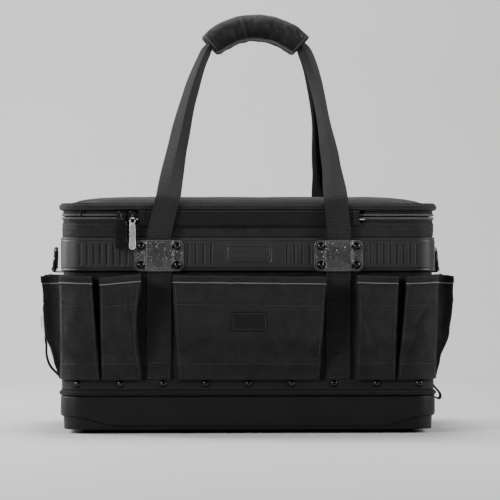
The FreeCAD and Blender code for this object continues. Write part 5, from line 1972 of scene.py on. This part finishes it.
def inner_pocket(side):
    """Slip pocket of lining cloth inside the front or back wall, drooping between its seams."""
    low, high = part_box("inner_pockets")
    half = high.x
    face = HALF_Y - 0.0064
    rows, columns = 24, 80
    verts = []
    uvs = []
    for t in spread(0, 1, rows):
        for x in spread(-half, half, columns):
            z = low.z + (high.z - low.z) * t
            bay = abs(math.sin(math.pi * 1.5 * (x / half + 1)))
            depth = 0.0012 + 0.0115 * bay ** 0.6 * (0.25 + 0.75 * smooth(t / 0.9)) * smooth(t / 0.08)
            depth += 0.0006 * rough(x, z, side, 0.02, 4.0)
            verts.append((x, side * (face - depth), z - 0.003 * bay * smooth((t - 0.8) / 0.2)))
            uvs.append((x, z))
    mesh = mesh_from("inner_pocket", verts, grid_faces(rows + 1, columns + 1), uvs)
    face_towards(mesh, (0, -side, 0), len(mesh.polygons) // 2)
    name = "front_inner_pocket_cloth" if side < 0 else "back_inner_pocket_cloth"
    piece = new_object(name, mesh, M_LINING)
    thicken(piece, 0.0011)
    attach(piece, "bag")
    if side < 0:
        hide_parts("inner_pockets")


label()
steel_pull()
tab_pull()
slider_dressing("slider_steel_shell", "slider_steel")
slider_dressing("slider_black_shell", "slider_black")
ring_tab(-1)
ring_tab(1)
end_strap("tool_loop_webbing", "tool_loop", -1, LOOP_POINTS)
end_strap("strap_tail_webbing", "strap_tail", 1, TAIL_POINTS)
inner_pocket(-1)
inner_pocket(1)

# ---- finishes of the CAD nodes that stay --------------------------------------------------------
FINISHES = {"base_sole": M_SOLE, "base_board": M_BOARD, "wall_stiffener": M_BOARD, "lid_board": M_BOARD,
            "strip_rivets": M_GUN, "plate_rivets": M_GUN, "left_d_ring": M_BLACK, "right_d_ring": M_BLACK,
            "slider_steel": M_BLACK, "slider_black": M_BLACK, "tape_clip": M_STEEL}
for node_name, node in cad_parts.items():
    if not node.hide_render:
        node.data.materials.clear()
        node.data.materials.append(FINISHES.get(node_name, M_NYLON))
        shade(node.data, 40)

# ---- stage, light and camera ----------------------------------------------------------------------
def floor():
    """Plain floor that curves up into a backdrop, which can be seen through from behind."""
    size = 3.0
    profile = [(-size, 0.0)] + [(1.1 + dy, 0.7 + dz) for dy, dz in arc_points(0, 0, 0.7, 0.7, -90, 0, 12)]
    profile.append((1.8, 2.6))
    verts = [(x, y, z) for x in (-4.5, 4.5) for y, z in profile]
    faces = grid_faces(2, len(profile))
    mesh = mesh_from("floor", verts, faces)
    if mesh.polygons[0].normal.z < 0:
        mesh.flip_normals()
    f = Finish("plain_floor", 0.8)
    f.colour(f.blend(f.noise(0.4, 3.0), (0.60, 0.60, 0.59), (0.64, 0.64, 0.63)))
    f.bump(f.noise(0.002, 2.0), 0.0001)
    behind = f.node("ShaderNodeNewGeometry").outputs["Backfacing"]
    clear = f.node("ShaderNodeBsdfTransparent").outputs[0]
    mixed = f.node("ShaderNodeMixShader", ((0, behind), (1, f.shader.outputs[0]), (2, clear)))
    f.tree.links.new(mixed.outputs[0], f.tree.nodes["Material Output"].inputs["Surface"])
    piece = new_object("floor", mesh, f.material)


def light(name, place, aim, size, power, size_y=None):
    lamp = bpy.data.lights.new(name, "AREA")
    lamp.shape = "RECTANGLE"
    lamp.size = size
    lamp.size_y = size_y or size
    lamp.energy = power
    piece = bpy.data.objects.new(name, lamp)
    piece.location = place
    piece.rotation_euler = (Vector(aim) - Vector(place)).to_track_quat("-Z", "Y").to_euler()
    bpy.context.scene.collection.objects.link(piece)


def camera():
    data = bpy.data.cameras.new("camera")
    data.sensor_width = 36
    data.lens = 167.3
    data.clip_end = 50
    piece = bpy.data.objects.new("camera", data)
    piece.location = (-0.102, -3.443, 0.261)
    piece.rotation_euler = (math.radians(90), 0, math.radians(-1.8))
    bpy.context.scene.collection.objects.link(piece)
    bpy.context.scene.camera = piece


floor()
camera()
light("key", (-2.1, -1.5, 1.2), (-0.05, 0, 0.25), 0.6, 54)
light("rim_left", (-1.8, 0.4, 0.9), (-0.1, 0, 0.25), 0.5, 42, 1.0)
light("rim_right", (1.9, -0.6, 1.0), (0.1, 0, 0.25), 0.5, 36, 1.0)
light("fill", (0.5, -3.4, 1.3), (0, 0, 0.2), 1.0, 4)
light("top", (0.0, 0.5, 2.3), (0, 0, 0.3), 1.0, 46)
world = bpy.data.worlds.new("studio")
bpy.context.scene.world = world
world.use_nodes = True
world.node_tree.nodes["Background"].inputs["Color"].default_value = (0.80, 0.81, 0.83, 1)
world.node_tree.nodes["Background"].inputs["Strength"].default_value = 0.11
